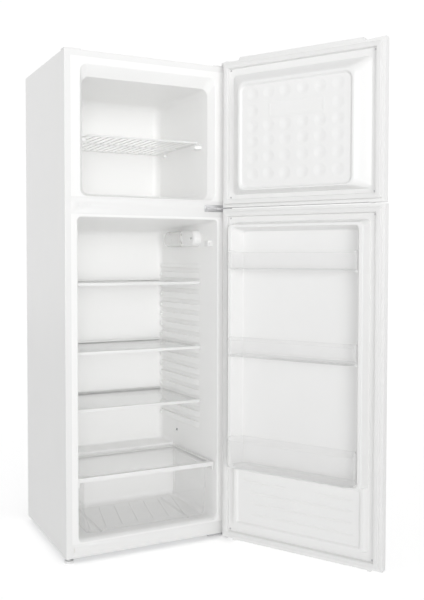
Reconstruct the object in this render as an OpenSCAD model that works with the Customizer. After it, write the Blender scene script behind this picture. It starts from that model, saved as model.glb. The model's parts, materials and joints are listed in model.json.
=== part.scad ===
/* [Cabinet] */
// Width across the outer steel sides
cab_w = 550; // [520:1:640]
// Height of steel and liner over the freezer mouth
top_band = 40; // [36:1:60]
// Height of the cabinet underside above the floor
cab_bottom = 16; // [12:1:24]
// Depth from the front face to the rear edge of the sides
cab_d = 465; // [440:1:560]
// Thickness of the outer steel sheet
sheet = 0.8; // [0.6:0.1:1.2]
// Width of the steel return flange on the front
flange_w = 19; // [14:1:26]
// Wall of the moulded liners
liner_t = 2; // [1.6:0.1:3]
// Thickness of the steel rails and the base plate
plate_t = 2; // [1.2:0.1:2]

/* [Freezer compartment] */
// Height of the divider between the two mouths
divider_h = 62.5; // [58:0.5:80]
// Height of the flared mouth
fz_mouth_h = 394; // [360:1:440]
// Steel and liner left beside the mouth on each side
fz_stile = 48; // [44:1:60]
// Depth over which the mouth flares
fz_flare_d = 30; // [16:1:36]
// How far the flare narrows each side
fz_flare_side = 15; // [10:1:30]
// How far the flare narrows at the top
fz_flare_top = 31; // [12:1:36]
// How far the flare narrows at the bottom
fz_flare_bottom = 8; // [4:1:16]
// Depth of foam and steel behind the compartment
fz_rear = 70; // [55:1:100]
// Draft of each side wall over the whole depth
fz_draft = 18; // [4:1:24]
// Corner radius of the compartment
fz_r = 22; // [12:1:34]

/* [Fridge compartment] */
// Underside of the mouth
fr_mouth_z0 = 63; // [58:1:76]
// Height of the mouth
fr_mouth_h = 985.5; // [960:0.5:990]
// Width of the stile beside the mouth
fr_stile = 39.5; // [36:0.5:48]
// Depth of foam and steel behind the compartment
fr_rear = 49; // [40:1:75]
// Draft of each side wall over the whole depth
fr_draft = 20.5; // [8:0.5:26]
// Fall of the ceiling from front to back
fr_ceiling_fall = 28; // [10:1:40]
// Height of the step over the compressor bay
step_z = 255; // [250:1:257]
// Thickness of the wall between the compartment and the compressor bay
step_wall = 24; // [22:1:42]
// Corner radius of the compartment
fr_r = 12; // [8:1:20]

/* [Shelves] */
// Height of the lowest shelf slot
slot_z0 = 364.7; // [360:0.1:368]
// Spacing of the shelf slots
slot_pitch = 36.5; // [34:0.5:37.5]
// Number of shelf slots
slot_n = 15; // [13:1:15]
// Clear height of a slot
slot_h = 14; // [12:0.5:16]
// How far a shelf rib stands out of the wall
rib_out = 8.5; // [7:0.5:11]
// Distance of the rib fronts behind the front face
rib_y0 = 121; // [118:1:130]
// Slots that hold the three glass shelves, counted from the lowest
shelf_slots = [2, 7, 13];
// Thickness of the shelf glass
glass_t = 4; // [3.2:0.1:5]
// Clearance between a glass shelf and the side walls
shelf_gap = 1.5; // [0.8:0.1:2.5]
// Height of the front trim of a glass shelf
trim_h = 8.5; // [7:0.5:11]
// Depth of the front trim of a glass shelf
trim_d = 9; // [7:0.5:12]
// Height of the wire shelf above the floor
wire_z = 1300; // [1280:1:1310]
// Diameter of the front rail of the wire shelf
wire_rail_d = 7; // [5:0.5:8]
// Diameter of the thin wires
wire_d = 3; // [2.4:0.1:4]
// Number of thin wires
wire_n = 17; // [13:1:21]

/* [Crisper] */
// Width of the drawer
drawer_w = 424; // [400:1:428]
// Height of the drawer's runners
drawer_lift = 6.2; // [5:0.1:9]
// Top edge of the drawer
drawer_top = 234; // [220:1:235]
// Depth of the drawer from front to back
drawer_d = 268; // [240:1:270]
// Distance of the drawer front behind the front face
drawer_y0 = 21; // [19:1:26]
// Wall of the drawer
drawer_t = 2.4; // [2:0.1:3]
// Height of the step line round the drawer
drawer_step_z = 163; // [140:1:180]
// Underside of the drawer cover
cover_z = 238; // [237:1:240]
// Height of the cover frame
cover_h = 13; // [11:1:14]

/* [Doors] */
// Distance of the door's inner flange in front of the cabinet
door_gap = 12.9; // [11:0.1:15]
// Thickness of the foamed door behind its flange
door_t = 31; // [28:0.5:40]
// Height of the freezer door's underside over the fridge mouth
door_line = 39.4; // [38:0.1:42]
// How far the freezer door stands over the cabinet top
door_rise = 7.2; // [4:0.1:12]
// Underside of the fridge door
frd_z0 = 14.1; // [13.5:0.1:16]
// Gap between the two doors
door_split = 4.4; // [4:0.1:6]
// Distance of the hinge axis from the cabinet side
pin_in = 12.9; // [12:0.1:16]
// Angle that the freezer door stands open
freezer_open = 118.9; // [0:0.1:130]
// Angle that the fridge door stands open
fridge_open = 119.7; // [0:0.1:130]
// Height of the raised dykes inside the fridge door
dyke_h = 48; // [40:1:50]
// Height of the lower box inside the fridge door
lower_h = 16; // [14:1:22]
// Clearance of the shut door's lower box over the sill
sill_gap = 1.5; // [1:0.1:3]
// Height of the raised panel inside the freezer door
panel_h = 37; // [30:1:38]
// Thickness of the magnetic gasket
gasket_t = 12.5; // [10:0.1:12.6]
// Width of the gasket
gasket_w = 16; // [14:1:18]
// Margin between the door's edge and its gasket
gasket_in = 10; // [9:1:12]
// Corner radius along the door's outer edges
door_r = 8; // [4:1:12]
// Height of the raised middle of the freezer door's top
crown_h = 9.8; // [6:0.2:12]

/* [Door bins] */
// Underside of each bin
bin_z = [272, 621, 892];
// Height of each bin
bin_h = [86, 52, 52];
// How far a bin stands out from the door flange
bin_out = 90; // [70:1:94]
// Wall of a bin
bin_t = 2.2; // [1.8:0.1:3]

/* [Hinges and feet] */
// Radius of the hinge pins
pin_r = 4; // [3.5:0.1:4.5]
// Running clearance of a pin in its bush
run_gap = 0.05; // [0.02:0.01:0.09]
// Thickness of the hinge plates
hinge_t = 2.8; // [2.4:0.1:2.9]
// Diameter of a levelling foot
foot_d = 28; // [24:1:34]
// Diameter of a rear roller
roller_d = 36; // [30:1:40]

/* [Compressor bay] */
// Depth of the bay in front of the cabinet's rear edge
bay_d = 123; // [122:1:140]
// Height of the bay's roof
bay_top = 225; // [218:1:228]
// Diameter of the compressor shell
comp_d = 108; // [100:1:110]
// Distance of the compressor from the middle, towards the hinge side
comp_x = 112; // [90:1:130]
// Radius of the refrigerant pipes
pipe_r = 2.6; // [2:0.1:3.2]

/* [Hidden] */
$fn = 40;
thin = 0.02;
cut = 1;
touch = 0.05;
half_w = cab_w / 2;
inner_w = half_w - sheet;
pin_x = half_w - pin_in;
pin_y = -door_gap - door_t / 2;
base_z1 = cab_bottom + plate_t;
back_y = cab_d - 2 * sheet;
fr_mouth_z1 = fr_mouth_z0 + fr_mouth_h;
fz_mouth_z0 = fr_mouth_z1 + divider_h;
fz_mouth_z1 = fz_mouth_z0 + fz_mouth_h;
cab_top = fz_mouth_z1 + top_band;
fz_back_y = cab_d - fz_rear;
fr_back_y = cab_d - fr_rear;
bay_y = cab_d - bay_d;
step_y = bay_y - step_wall;
fzd_z0 = fr_mouth_z1 + door_line;
fz_half = half_w - fz_stile;
fz_lip_half = fz_half - fz_flare_side;
fz_back_half = fz_lip_half - fz_draft;
fz_lip_z0 = fz_mouth_z0 + fz_flare_bottom;
fz_lip_z1 = fz_mouth_z1 - fz_flare_top;
fr_half = half_w - fr_stile;
fr_back_half = fr_half - fr_draft;
fr_floor_z = fr_mouth_z0 + 5;
fr_lip_d = 12;
fr_slope = fr_draft / fr_back_y;
wall_angle = atan(fr_slope);
flange_half = half_w - flange_w;
rail_z0 = fr_mouth_z1 + 8.5;
rail_z1 = fz_mouth_z0 - 2;
rail_mid = fzd_z0 - 3.4;
bottom_rail_z1 = fr_mouth_z0 - 6;
trough_y = fr_back_y - 24;
trough_depth = 5;
drain_r = 6;
rib_h = slot_pitch - slot_h;
rib_y1 = fr_back_y - 11;
ledge_out = 9;
shelf_y0 = rib_y0 - trim_d;
shelf_y1 = fr_back_y - 6;
fzd_z1 = cab_top + door_rise;
fzd_h = fzd_z1 - fzd_z0;
frd_z1 = fzd_z0 - door_split;
frd_h = frd_z1 - frd_z0;
cap_h = 10;
boss_r = 8;
boss_h = 30;
pin_reach = 24;
bin_half = half_w - 63;
foot_x = half_w - 12.5;
foot_y = 14;
stud_r = 4;
roller_x = half_w - 35;
roller_y = cab_d - 38;
roller_w = 20;
axle_r = 4;
screw_r = 2;
head_r = 4;
spare_r = 2.5;
hinge_screw_x = [half_w - 74.5, half_w - 48];
foot_screw_x = [half_w - 62, half_w - 32];
top_screw_x = [half_w - 40, half_w - 17];
plug_r = 3;
comp_y = (bay_y + back_y) / 2;
comp_z0 = base_z1 + 14;
spacer_z = cab_top - 45;
comp_h = 150;
mount_r = 11;
stadium_y = 110;
stadium_l = 239;
stadium_h = 54;
stadium_z = fr_mouth_z1 - 57.5;
housing_t = 26;
lens_t = 24;
knob_s = 94;
knob_r = 14.5;
switch_y = 38;
switch_z = fr_mouth_z1 - 75.5;
switch_x = 224.5;
switch_r = 3;

// ---- Shared shapes ----

// Half the clear width of the fridge compartment at depth y
function hw(y) = fr_half - fr_slope * y;

// Half the clear width of the freezer compartment at depth y, behind its flare
function freezer_half(y) = fz_lip_half - fz_draft * (y - fz_flare_d) / (fz_back_y - fz_flare_d);

// Box that is centred on x = 0
module wide_box(half, y0, y1, z0, z1) {
    translate([-half, y0, z0]) cube([2 * half, y1 - y0, z1 - z0]);
}

// Rectangle with rounded corners, centred on x = 0 and standing on the x axis
module rounded2d(w, h, r) {
    translate([-w / 2 + r, 0]) square([w - 2 * r, h]);
    translate([-w / 2, r]) square([w, h - 2 * r]);
    for (x = [-w / 2 + r, w / 2 - r], y = [r, h - r]) translate([x, y]) circle(r);
}

// Upright rounded slice of a compartment, from depth y to y + thin
module slice(half, z0, z1, r, y) {
    translate([0, y + thin, z0])
        rotate([90, 0, 0])
            linear_extrude(thin)
                rounded2d(2 * half, z1 - z0, r, $fn = 32);
}

// Space of the freezer compartment, grown on every side; grow 0 also cuts the front face
module freezer_space(grow) {
    front = grow > 0 ? 0 : -thin;
    r = fz_r + grow;
    hull() {
        slice(fz_half + grow, fz_mouth_z0 - grow, fz_mouth_z1 + grow, r, front);
        slice(fz_lip_half + grow, fz_lip_z0 - grow, fz_lip_z1 + grow, r, fz_flare_d);
    }
    hull() {
        slice(fz_lip_half + grow, fz_lip_z0 - grow, fz_lip_z1 + grow, r, fz_flare_d);
        slice(fz_back_half + grow, fz_lip_z0 - grow, fz_lip_z1 + grow, r, fz_back_y + grow - thin);
    }
}

// Space of the fridge compartment, grown on every side
module fridge_space(grow) {
    front = grow > 0 ? 0 : -thin;
    r = fr_r + grow;
    lip_half = hw(fr_lip_d) + grow;
    z1 = fr_mouth_z1 + grow;
    difference() {
        union() {
            hull() {
                slice(fr_half + grow, fr_mouth_z0 - grow, z1, r, front);
                slice(lip_half, fr_floor_z - grow, z1 - 1, r, fr_lip_d);
            }
            hull() {
                slice(lip_half, fr_floor_z - grow, z1 - 1, r, fr_lip_d);
                slice(fr_back_half + grow, fr_floor_z - grow, z1 - fr_ceiling_fall, r,
                      fr_back_y + grow - thin);
            }
        }
        wide_box(half_w, step_y + grow, cab_d, cab_bottom, step_z - grow);
    }
    wide_box(fr_back_half + grow, trough_y - grow, fr_back_y + grow, step_z - trough_depth - grow,
             step_z + cut);
}

// Places its child against the right inner wall of the fridge; -x points into the compartment
module on_right_wall(y, z) {
    translate([hw(y), y, z]) rotate([0, 0, wall_angle]) children();
}

// The same on both side walls
module on_both_walls(y, z) {
    for (s = [0, 1]) mirror([s, 0, 0]) on_right_wall(y, z) children();
}

// Upright outline in (y, z), given thickness along -x
module wall_plate(t) {
    translate([-t, 0, 0]) rotate([90, 0, 90]) linear_extrude(t) children();
}

// Tube or rod between two points
module rod(a, b, r) {
    d = b - a;
    translate(a)
        rotate([0, acos(d[2] / norm(d)), atan2(d[1], d[0])])
            cylinder(h = norm(d), r = r);
}

// Round bar that follows a list of points, with ball corners
module bent_rod(points, r) {
    for (i = [1:len(points) - 1]) rod(points[i - 1], points[i], r);
    for (i = [1:len(points) - 2]) translate(points[i]) sphere(r);
}

// Square channel round a bar whose bends are all square to the axes
module bent_channel(points, r) {
    for (i = [1:len(points) - 1])
        let (a = points[i - 1], b = points[i],
             low = [for (k = [0:2]) min(a[k], b[k]) - r],
             size = [for (k = [0:2]) abs(a[k] - b[k]) + 2 * r])
        translate(low) cube(size);
}

// Screw that points along +y at the cabinet's front, with a domed head
module front_screw(x, y, z) {
    translate([x, y, z]) rotate([-90, 0, 0]) {
        translate([0, 0, -2]) cylinder(h = 2, r = head_r);
        cylinder(h = 12, r = screw_r);
    }
}

// Screw that points down, with its head on height z
module down_screw(x, y, z) {
    translate([x, y, z]) {
        cylinder(h = 2, r = head_r);
        translate([0, 0, -9]) cylinder(h = 9 + thin, r = screw_r);
    }
}

// Screw that points up, with its head under height z
module up_screw(x, y, z) {
    translate([x, y, z]) {
        translate([0, 0, -2]) cylinder(h = 2, r = head_r);
        cylinder(h = 11, r = screw_r);
    }
}

// ---- Cabinet ----

// Outer steel sheet, folded over the two sides and the top
module outer_wrapper() {
    color("white") difference() {
        union() {
            for (s = [0, 1]) mirror([s, 0, 0]) {
                translate([inner_w, 0, cab_bottom]) cube([sheet, cab_d, cab_top - cab_bottom]);
                translate([flange_half, 0, cab_bottom])
                    cube([flange_w, sheet, cab_top - cab_bottom]);
                translate([half_w - 10, cab_d - sheet, cab_bottom])
                    cube([10, sheet, cab_top - cab_bottom]);
            }
            wide_box(half_w, 0, cab_d, cab_top - sheet, cab_top);
            wide_box(half_w, 0, sheet, cab_top - flange_w, cab_top);
            wide_box(half_w, cab_d - sheet, cab_d, cab_top - 10, cab_top);
        }
        hinge_screws();
        cap_pegs();
    }
}

// Plain steel rear sheet, folded forward over the compressor bay
module back_panel() {
    color("gainsboro") difference() {
        union() {
            wide_box(inner_w, back_y, back_y + sheet, bay_top - 36, cab_top - sheet);
            wide_box(inner_w, bay_y, back_y + sheet, bay_top - sheet, bay_top);
            wide_box(inner_w, bay_y, bay_y + sheet, base_z1, bay_top);
        }
        drain_bore(drain_r);
        pipe_passages();
        gland_seat();
        spacer_pegs();
    }
}

// Painted steel strip under the fridge mouth
module bottom_rail() {
    color("white") difference() {
        union() {
            wide_box(flange_half, 0, plate_t, cab_bottom, bottom_rail_z1);
            wide_box(flange_half, 0, 14, bottom_rail_z1 - plate_t, bottom_rail_z1);
        }
        translate([-half_w + 25, -cut, cab_bottom + 18]) cube([1.6, plate_t + 2 * cut, 12]);
    }
}

// Steel strip between the two mouths, which carries the middle hinge
module centre_rail() {
    color("white") difference() {
        union() {
            wide_box(flange_half, 0, plate_t, rail_z0, rail_z1);
            for (z = [rail_z0, rail_z1 - plate_t])
                wide_box(flange_half, 0, 16, z, z + plate_t);
        }
        hinge_screws();
        rail_plugs();
    }
}

// Two plugs in the spare hinge holes of the centre rail
module rail_plugs() {
    color("whitesmoke") for (x = hinge_screw_x) translate([-x, 0, rail_mid]) rotate([-90, 0, 0]) {
        translate([0, 0, -1]) cylinder(h = 1, r = plug_r + 1.5);
        cylinder(h = 6, r = plug_r);
    }
}

// Pegs that hold the corner cap
module cap_pegs() {
    for (x = top_screw_x) translate([-x, 24, cab_top - 6]) cylinder(h = 6 + thin, r = plug_r);
}

// Cover over the spare holes at the top's hinge-free corner
module corner_cap() {
    color("white") {
        translate([-half_w + 26.5, 2, cab_top])
            linear_extrude(3)
                rounded2d(53, 38, 6);
        cap_pegs();
    }
}

// Rigid foam that fills the cabinet's walls
module cabinet_foam() {
    color("khaki") difference() {
        wide_box(inner_w, sheet, back_y, base_z1, cab_top - sheet);
        freezer_space(liner_t);
        fridge_space(liner_t);
        freezer_flange();
        fridge_flange();
        wide_box(inner_w + cut, bay_y, cab_d, cab_bottom, bay_top);
        for (z = [[cab_bottom, bottom_rail_z1], [rail_z0, rail_z1]])
            wide_box(flange_half, 0, plate_t, z[0], z[1]);
        wide_box(flange_half, 0, 14, bottom_rail_z1 - plate_t, bottom_rail_z1);
        for (z = [rail_z0, rail_z1 - plate_t]) wide_box(flange_half, 0, 16, z, z + plate_t);
        tube_channels();
        drain_bore(drain_r);
        hinge_screws();
        rail_plugs();
        cap_pegs();
        spacer_pegs();
        foot_pockets();
        spare_holes();
    }
}

// Flat border of the freezer liner
module freezer_flange() {
    wide_box(flange_half, 0, liner_t, rail_z1, cab_top - flange_w);
}

// Flat border of the fridge liner
module fridge_flange() {
    wide_box(flange_half, 0, liner_t, bottom_rail_z1, rail_z0);
}

// Moulded lining of the freezer compartment, with lugs under the wire shelf
module freezer_liner() {
    color("white") {
        difference() {
            union() {
                freezer_space(liner_t);
                freezer_flange();
            }
            freezer_space(0);
        }
        for (s = [0, 1], y = [70, fz_back_y - 70]) mirror([s, 0, 0])
            translate([fz_back_half - 8, y, wire_z - wire_rail_d / 2 - 12])
                cube([freezer_half(y + 30) - fz_back_half + 8 + liner_t - 0.25, 30, 12 - touch]);
    }
}

// Moulded lining of the fridge compartment, with its shelf ribs
module fridge_liner() {
    color("white") {
        difference() {
            union() {
                fridge_space(liner_t);
                fridge_flange();
            }
            fridge_space(0);
            drain_bore(drain_r);
        }
        wall_ribs();
    }
}

// Ribs along both side walls; a shelf slides into the slot above each of them
module wall_ribs() {
    len = (rib_y1 - rib_y0) / cos(wall_angle);
    root = 1;
    on_both_walls(rib_y0, 0) {
        for (i = [0:slot_n - 1])
            translate([-rib_out, 0, slot_z0 + i * slot_pitch - rib_h])
                cube([rib_out + root, len, rib_h]);
        translate([-rib_out, 0, slot_z0 + slot_n * slot_pitch - rib_h])
            cube([rib_out + root, len, slot_h]);
    }
    on_both_walls(62, cover_z - 8) translate([-ledge_out, 0, 0])
        cube([ledge_out + root, 215, 8 - touch]);
}

// Base plate with the roller axles, under the foam and the compressor
module base_plate() {
    color("gainsboro") difference() {
        union() {
            wide_box(inner_w, plate_t, back_y + sheet, cab_bottom, base_z1);
            for (s = [0, 1]) mirror([s, 0, 0]) roller_fork();
        }
        for (s = [0, 1]) mirror([s, 0, 0]) {
            translate([foot_x, foot_y, cab_bottom - cut])
                cylinder(h = plate_t + 2 * cut, r = stud_r + run_gap);
            translate([roller_x - roller_w / 2 - 2, roller_y - roller_d / 2 - 3, cab_bottom - cut])
                cube([roller_w + 4, roller_d + 6, plate_t + 2 * cut]);
        }
        hinge_screws();
        spare_holes();
        compressor_bolts();
    }
}

// Two ears and the axle of one rear roller
module roller_fork() {
    for (x = [roller_x - roller_w / 2 - 5, roller_x + roller_w / 2 + 2])
        translate([x, roller_y - 9, cab_bottom]) cube([3, 18, roller_d / 2 - cab_bottom + 9]);
    translate([roller_x - roller_w / 2 - 5, roller_y, roller_d / 2])
        rotate([0, 90, 0]) cylinder(h = roller_w + 10, r = axle_r);
}

// Holes for hanging the fridge door on the other side
module spare_holes() {
    for (x = foot_screw_x) translate([-x, 30, cab_bottom - cut])
        cylinder(h = 14, r = spare_r);
}

// Room in the foam above the studs of the front feet
module foot_pockets() {
    for (s = [0, 1]) mirror([s, 0, 0])
        translate([foot_x, foot_y, cab_bottom]) cylinder(h = 38, r = stud_r + 1);
}

// Levelling foot on the side given by s
module front_foot(s) {
    color("whitesmoke") translate([s * foot_x, foot_y, 0]) {
        cylinder(h = 3, r1 = foot_d / 2 - 1.5, r2 = foot_d / 2);
        translate([0, 0, 3]) cylinder(h = 6, r = foot_d / 2);
        cylinder(h = 46, r = stud_r);
    }
}

module front_foot_left() { front_foot(-1); }
module front_foot_right() { front_foot(1); }

// Rear roller on the side given by s
module rear_roller(s) {
    color("gray") translate([s * roller_x - roller_w / 2, roller_y, roller_d / 2])
        rotate([0, 90, 0]) difference() {
            cylinder(h = roller_w, r = roller_d / 2);
            translate([0, 0, -cut]) cylinder(h = roller_w + 2 * cut, r = axle_r + run_gap);
        }
}

module rear_roller_left() { rear_roller(-1); }
module rear_roller_right() { rear_roller(1); }

// ---- Refrigeration ----

evap_n = 6;
evap_pitch = 60;
coil_gap = 0.3;
evap_z = [fz_lip_z0 - liner_t - pipe_r - coil_gap, fz_lip_z1 + liner_t + pipe_r + coil_gap];
side_x = inner_w - pipe_r - coil_gap;
run_n = 6;
run_pitch = 66;
run_z = [bay_top + 45, cab_top - 65];
run_y0 = 60;
last_run_y = run_y0 + (run_n - 1) * run_pitch;
suction_x = -240;
liquid_x = -225;
cap_tube_r = 1.2;

// Depth and half width of evaporator turn i
function evap_y(i) = 70 + i * evap_pitch;
function evap_half(i) = freezer_half(evap_y(i)) + liner_t + pipe_r + coil_gap;

// Path of the evaporator tube, back and forth around the freezer liner
evap_path = [for (i = [0:evap_n - 1], k = [0:3])
    let (right = k == 1 || k == 2,
         x = right ? evap_half(i) : -evap_half(k == 0 ? max(i - 1, 0) : i),
         low = i % 2 == 0 ? k < 2 : k > 1)
    [x, evap_y(i), evap_z[low ? 0 : 1]]];

// Path of the condenser tube, up and down behind the right outer side
condenser_path = [for (j = [0:run_n - 1], k = [0, 1])
    [side_x, run_y0 + j * run_pitch, run_z[(j + k) % 2]]];

module evaporator_coil() {
    color("silver") bent_rod(evap_path, pipe_r);
}

// Condenser tubes behind both outer sides
module condenser_coils() {
    color("peru") for (s = [0, 1]) mirror([s, 0, 0]) bent_rod(condenser_path, pipe_r);
}

// Channels in the foam round all the tubes
module tube_channels() {
    bent_channel(evap_path, pipe_r);
    for (s = [0, 1]) mirror([s, 0, 0]) bent_channel(condenser_path, pipe_r);
    bent_channel(discharge_path, pipe_r);
    bent_channel(suction_path, pipe_r);
    bent_channel(condensed_path, pipe_r);
    bent_channel(capillary_path, cap_tube_r);
}

// Outline of the compressor's welded shell, turned about its axis
module compressor_shell() {
    r = comp_d / 2;
    translate([comp_x, comp_y, comp_z0 + 2.5]) rotate_extrude()
        polygon([[0, 0], [r - 16, 0], [r - 4, 10], [r, 24], [r, 68], [r + 3, 68], [r + 3, 74],
                 [r, 74], [r, comp_h - 30], [r - 4, comp_h - 16], [r - 16, comp_h - 6],
                 [r - 16, comp_h], [0, comp_h]]);
}

// Places its child at each of the compressor's four mounts
module at_compressor_mounts() {
    for (x = [-1, 1], y = [-1, 1]) translate([comp_x + x * 76, comp_y + y * 40, 0]) children();
}

// Hermetic compressor on its foot plate
module compressor() {
    color("dimgray") difference() {
        union() {
            compressor_shell();
            translate([comp_x - 88, comp_y - 50, comp_z0]) cube([176, 100, 2.5]);
        }
        compressor_bolts();
    }
}

// Rubber mounts under the compressor's foot plate
module compressor_mounts() {
    color("black") difference() {
        at_compressor_mounts() translate([0, 0, base_z1])
            cylinder(h = comp_z0 - base_z1, r = mount_r);
        compressor_bolts();
    }
}

// Studs and nuts that hold the compressor
module compressor_bolts() {
    color("silver") at_compressor_mounts() {
        translate([0, 0, cab_bottom]) cylinder(h = comp_z0 - cab_bottom + 8, r = 3);
        translate([0, 0, comp_z0 + 2.5]) cylinder(h = 5, r = 6.5);
    }
}

// Start relay and overload under their cover, on the side of the compressor
module relay_box() {
    color("black") difference() {
        translate([comp_x - comp_d / 2 - 24, comp_y - 22, comp_z0 + 42]) cube([40, 44, 54]);
        compressor_shell();
    }
}

// Paths of the discharge, suction, condensed and capillary lines
discharge_path = [[side_x, last_run_y, run_z[0]], [side_x, last_run_y, 110],
                  [comp_x + 20, last_run_y, 110]];
suction_path = [[-evap_half(evap_n - 1), evap_y(evap_n - 1), evap_z[0]],
                [suction_x, evap_y(evap_n - 1), evap_z[0]], [suction_x, 440, evap_z[0]],
                [suction_x, 440, 150], [comp_x - 14, 440, 150]];
condensed_path = [[-side_x, last_run_y, run_z[0]], [-side_x, last_run_y, 90],
                  [-200, last_run_y, 90]];
capillary_path = [[-110, last_run_y, 90], [-60, last_run_y, 90], [-60, last_run_y, 170],
                  [-60, 430, 170], [liquid_x, 430, 170], [liquid_x, 430, evap_z[0]],
                  [liquid_x, evap_y(0), evap_z[0]], [-evap_half(0), evap_y(0), evap_z[0]]];

// All lines, with the filter drier
module pipe_passages() {
    bent_rod(discharge_path, pipe_r);
    bent_rod(suction_path, pipe_r);
    bent_rod(condensed_path, pipe_r);
    rod([-200, last_run_y, 90], [-110, last_run_y, 90], 9);
    bent_rod(capillary_path, cap_tube_r);
}

module refrigerant_pipes() {
    color("peru") difference() {
        pipe_passages();
        compressor_shell();
    }
}

// Vertical bore of the defrost drain, from the trough to the tray
module drain_bore(r) {
    translate([0, trough_y + 12, comp_z0 + comp_h + 12]) cylinder(h = 80, r = r);
}

// Tube from the trough down to the tray over the compressor
module drain_tube() {
    top = step_z - trough_depth;
    color("lightgray") translate([0, trough_y + 12, comp_z0 + comp_h + 12]) difference() {
        cylinder(h = top - comp_z0 - comp_h - 12, r = drain_r);
        translate([0, 0, -cut]) cylinder(h = 90, r = drain_r - 1.5);
    }
}

// Open tray on top of the compressor, where the defrost water dries off
module evaporation_tray() {
    z0 = comp_z0 + 2.5 + comp_h;
    color("lightgray") difference() {
        translate([comp_x - 150, comp_y - 50, z0]) cube([216, 100, 24]);
        translate([comp_x - 148, comp_y - 48, z0 + 2]) cube([212, 96, 24]);
    }
}

// Round seat of the cord gland in the back panel's lower edge
module gland_seat() {
    translate([-120, back_y - 20, bay_top - 16]) rotate([-90, 0, 0]) cylinder(h = 40, r = 9);
}

// Empty gland where the supply cord enters
module cord_gland() {
    color("dimgray") difference() {
        translate([-120, back_y + sheet / 2, bay_top - 16]) rotate([-90, 0, 0]) {
            translate([0, 0, -8]) cylinder(h = 16, r = 9);
            translate([0, 0, sheet / 2]) cylinder(h = 4, r = 12);
        }
        translate([-120, back_y - 20, bay_top - 16])
            rotate([-90, 0, 0]) cylinder(h = 40, r = 4.2);
    }
}

// Pegs of the two wall spacers
module spacer_pegs() {
    for (x = [-180, 180]) translate([x, back_y - 10, spacer_z])
        rotate([-90, 0, 0]) cylinder(h = 12, r = 4);
}

// Spacers that keep the back off the wall
module wall_spacers() {
    color("lightgray") {
        spacer_pegs();
        for (x = [-180, 180]) translate([x, back_y + sheet, spacer_z])
            rotate([-90, 0, 0]) cylinder(h = 26, r = 14);
    }
}

// ---- Lamp, thermostat and door switch ----

// Outline of the lamp housing, along the wall and upright
module stadium(inset) {
    r = stadium_h / 2;
    translate([r, inset - r]) square([stadium_l - stadium_h, stadium_h - 2 * inset]);
    for (x = [r, stadium_l - r]) translate([x, 0]) circle(r - inset);
}

// Part of the stadium between two distances along the wall
module stadium_part(inset, s0, s1) {
    intersection() {
        stadium(inset);
        translate([s0, -stadium_h]) square([s1 - s0, 2 * stadium_h]);
    }
}

// Bulb position and size in the housing
bulb_s = 150;

// White housing of the thermostat, with the base plate of the lamp
module lamp_housing() {
    color("white") on_right_wall(stadium_y, stadium_z) difference() {
        union() {
            wall_plate(3) stadium_part(0, 86, stadium_l);
            difference() {
                wall_plate(housing_t) stadium_part(0, 0, 102);
                translate([cut, 0, 0]) wall_plate(housing_t - 2 + cut) stadium_part(2, 0, 86);
            }
            translate([-14, 102, 0]) rotate([-90, 0, 0]) cylinder(h = 14, r = 8);
        }
        translate([-housing_t - cut, 88, -17]) cube([housing_t + cut - 0.5, 12, 34]);
        translate([-housing_t - cut, 25, 0]) rotate([0, 90, 0]) cylinder(h = 2, r = 5);
        translate([-housing_t + knob_r - 4, 80, 0]) rotate([-90, 0, 0])
            cylinder(h = 24, r = 2.5 + run_gap);
        translate([-touch, -cut, -stadium_h]) cube([cut, stadium_l + 2 * cut, 2 * stadium_h]);
    }
}

// Clear cover over the lamp
module lamp_lens() {
    color("aliceblue", 0.6) on_right_wall(stadium_y, stadium_z) difference() {
        translate([-3, 0, 0]) wall_plate(lens_t - 3) stadium_part(0, 102, stadium_l);
        translate([-3 + cut, 0, 0]) wall_plate(lens_t - 5 + cut) stadium_part(2, 104, stadium_l);
        translate([-14, 101, 0]) rotate([-90, 0, 0]) cylinder(h = 8, r = 8.3);
    }
}

// Lamp bulb in its holder
module lamp_bulb() {
    color("lightyellow") on_right_wall(stadium_y, stadium_z) translate([-14, 116, 0])
        rotate([-90, 0, 0]) {
            cylinder(h = 14, r = 5.5);
            translate([0, 0, 18]) sphere(7.5);
        }
}

// Thumbwheel that sets the temperature
module thermostat_knob() {
    color("whitesmoke") on_right_wall(stadium_y, stadium_z)
        translate([-housing_t + knob_r - 4, knob_s, 0]) rotate([-90, 0, 0]) {
            translate([0, 0, -4.5]) cylinder(h = 9, r = knob_r);
            translate([0, 0, -9]) cylinder(h = 17, r = 2.5);
        }
}

// Housing of the door switch
module door_switch_body() {
    color("whitesmoke") difference() {
        translate([switch_x - 5, switch_y, switch_z - 9]) cube([17, 26, 18]);
        on_right_wall(switch_y - 10, switch_z - 20) cube([20, 60, 40]);
        translate([switch_x, switch_y - cut, switch_z])
            rotate([-90, 0, 0]) cylinder(h = 23, r = switch_r + run_gap);
    }
}

// Plunger that the fridge door pushes in
module door_switch_plunger() {
    color("white") translate([switch_x, switch_y - 8.5, switch_z])
        rotate([-90, 0, 0]) cylinder(h = 23, r = switch_r);
}

// ---- Shelves ----

// Wire shelf of the freezer
module wire_shelf() {
    half = fz_back_half - 4;
    y0 = 43;
    y1 = fz_back_y - 7;
    rail_r = wire_rail_d / 2;
    side_r = 2.5;
    cross_r = 2.2;
    end = 1.2;
    inner = half - 9;
    color("white") {
        translate([-half, y0, wire_z]) rotate([0, 90, 0]) cylinder(h = 2 * half, r = rail_r);
        for (y = [(y0 + y1) / 2, y1])
            translate([-half + end, y, wire_z - rail_r + side_r])
                rotate([0, 90, 0]) cylinder(h = 2 * (half - end), r = cross_r);
        for (x = [-half + side_r + end, half - side_r - end])
            translate([x, y0, wire_z - rail_r + side_r])
                rotate([-90, 0, 0]) cylinder(h = y1 - y0 + 2 * end, r = side_r);
        for (i = [0:wire_n - 1])
            translate([-inner + 2 * inner * i / (wire_n - 1), y0, wire_z + 1.5])
                rotate([-90, 0, 0]) cylinder(h = y1 - y0 + end, r = wire_d / 2);
    }
}

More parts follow.
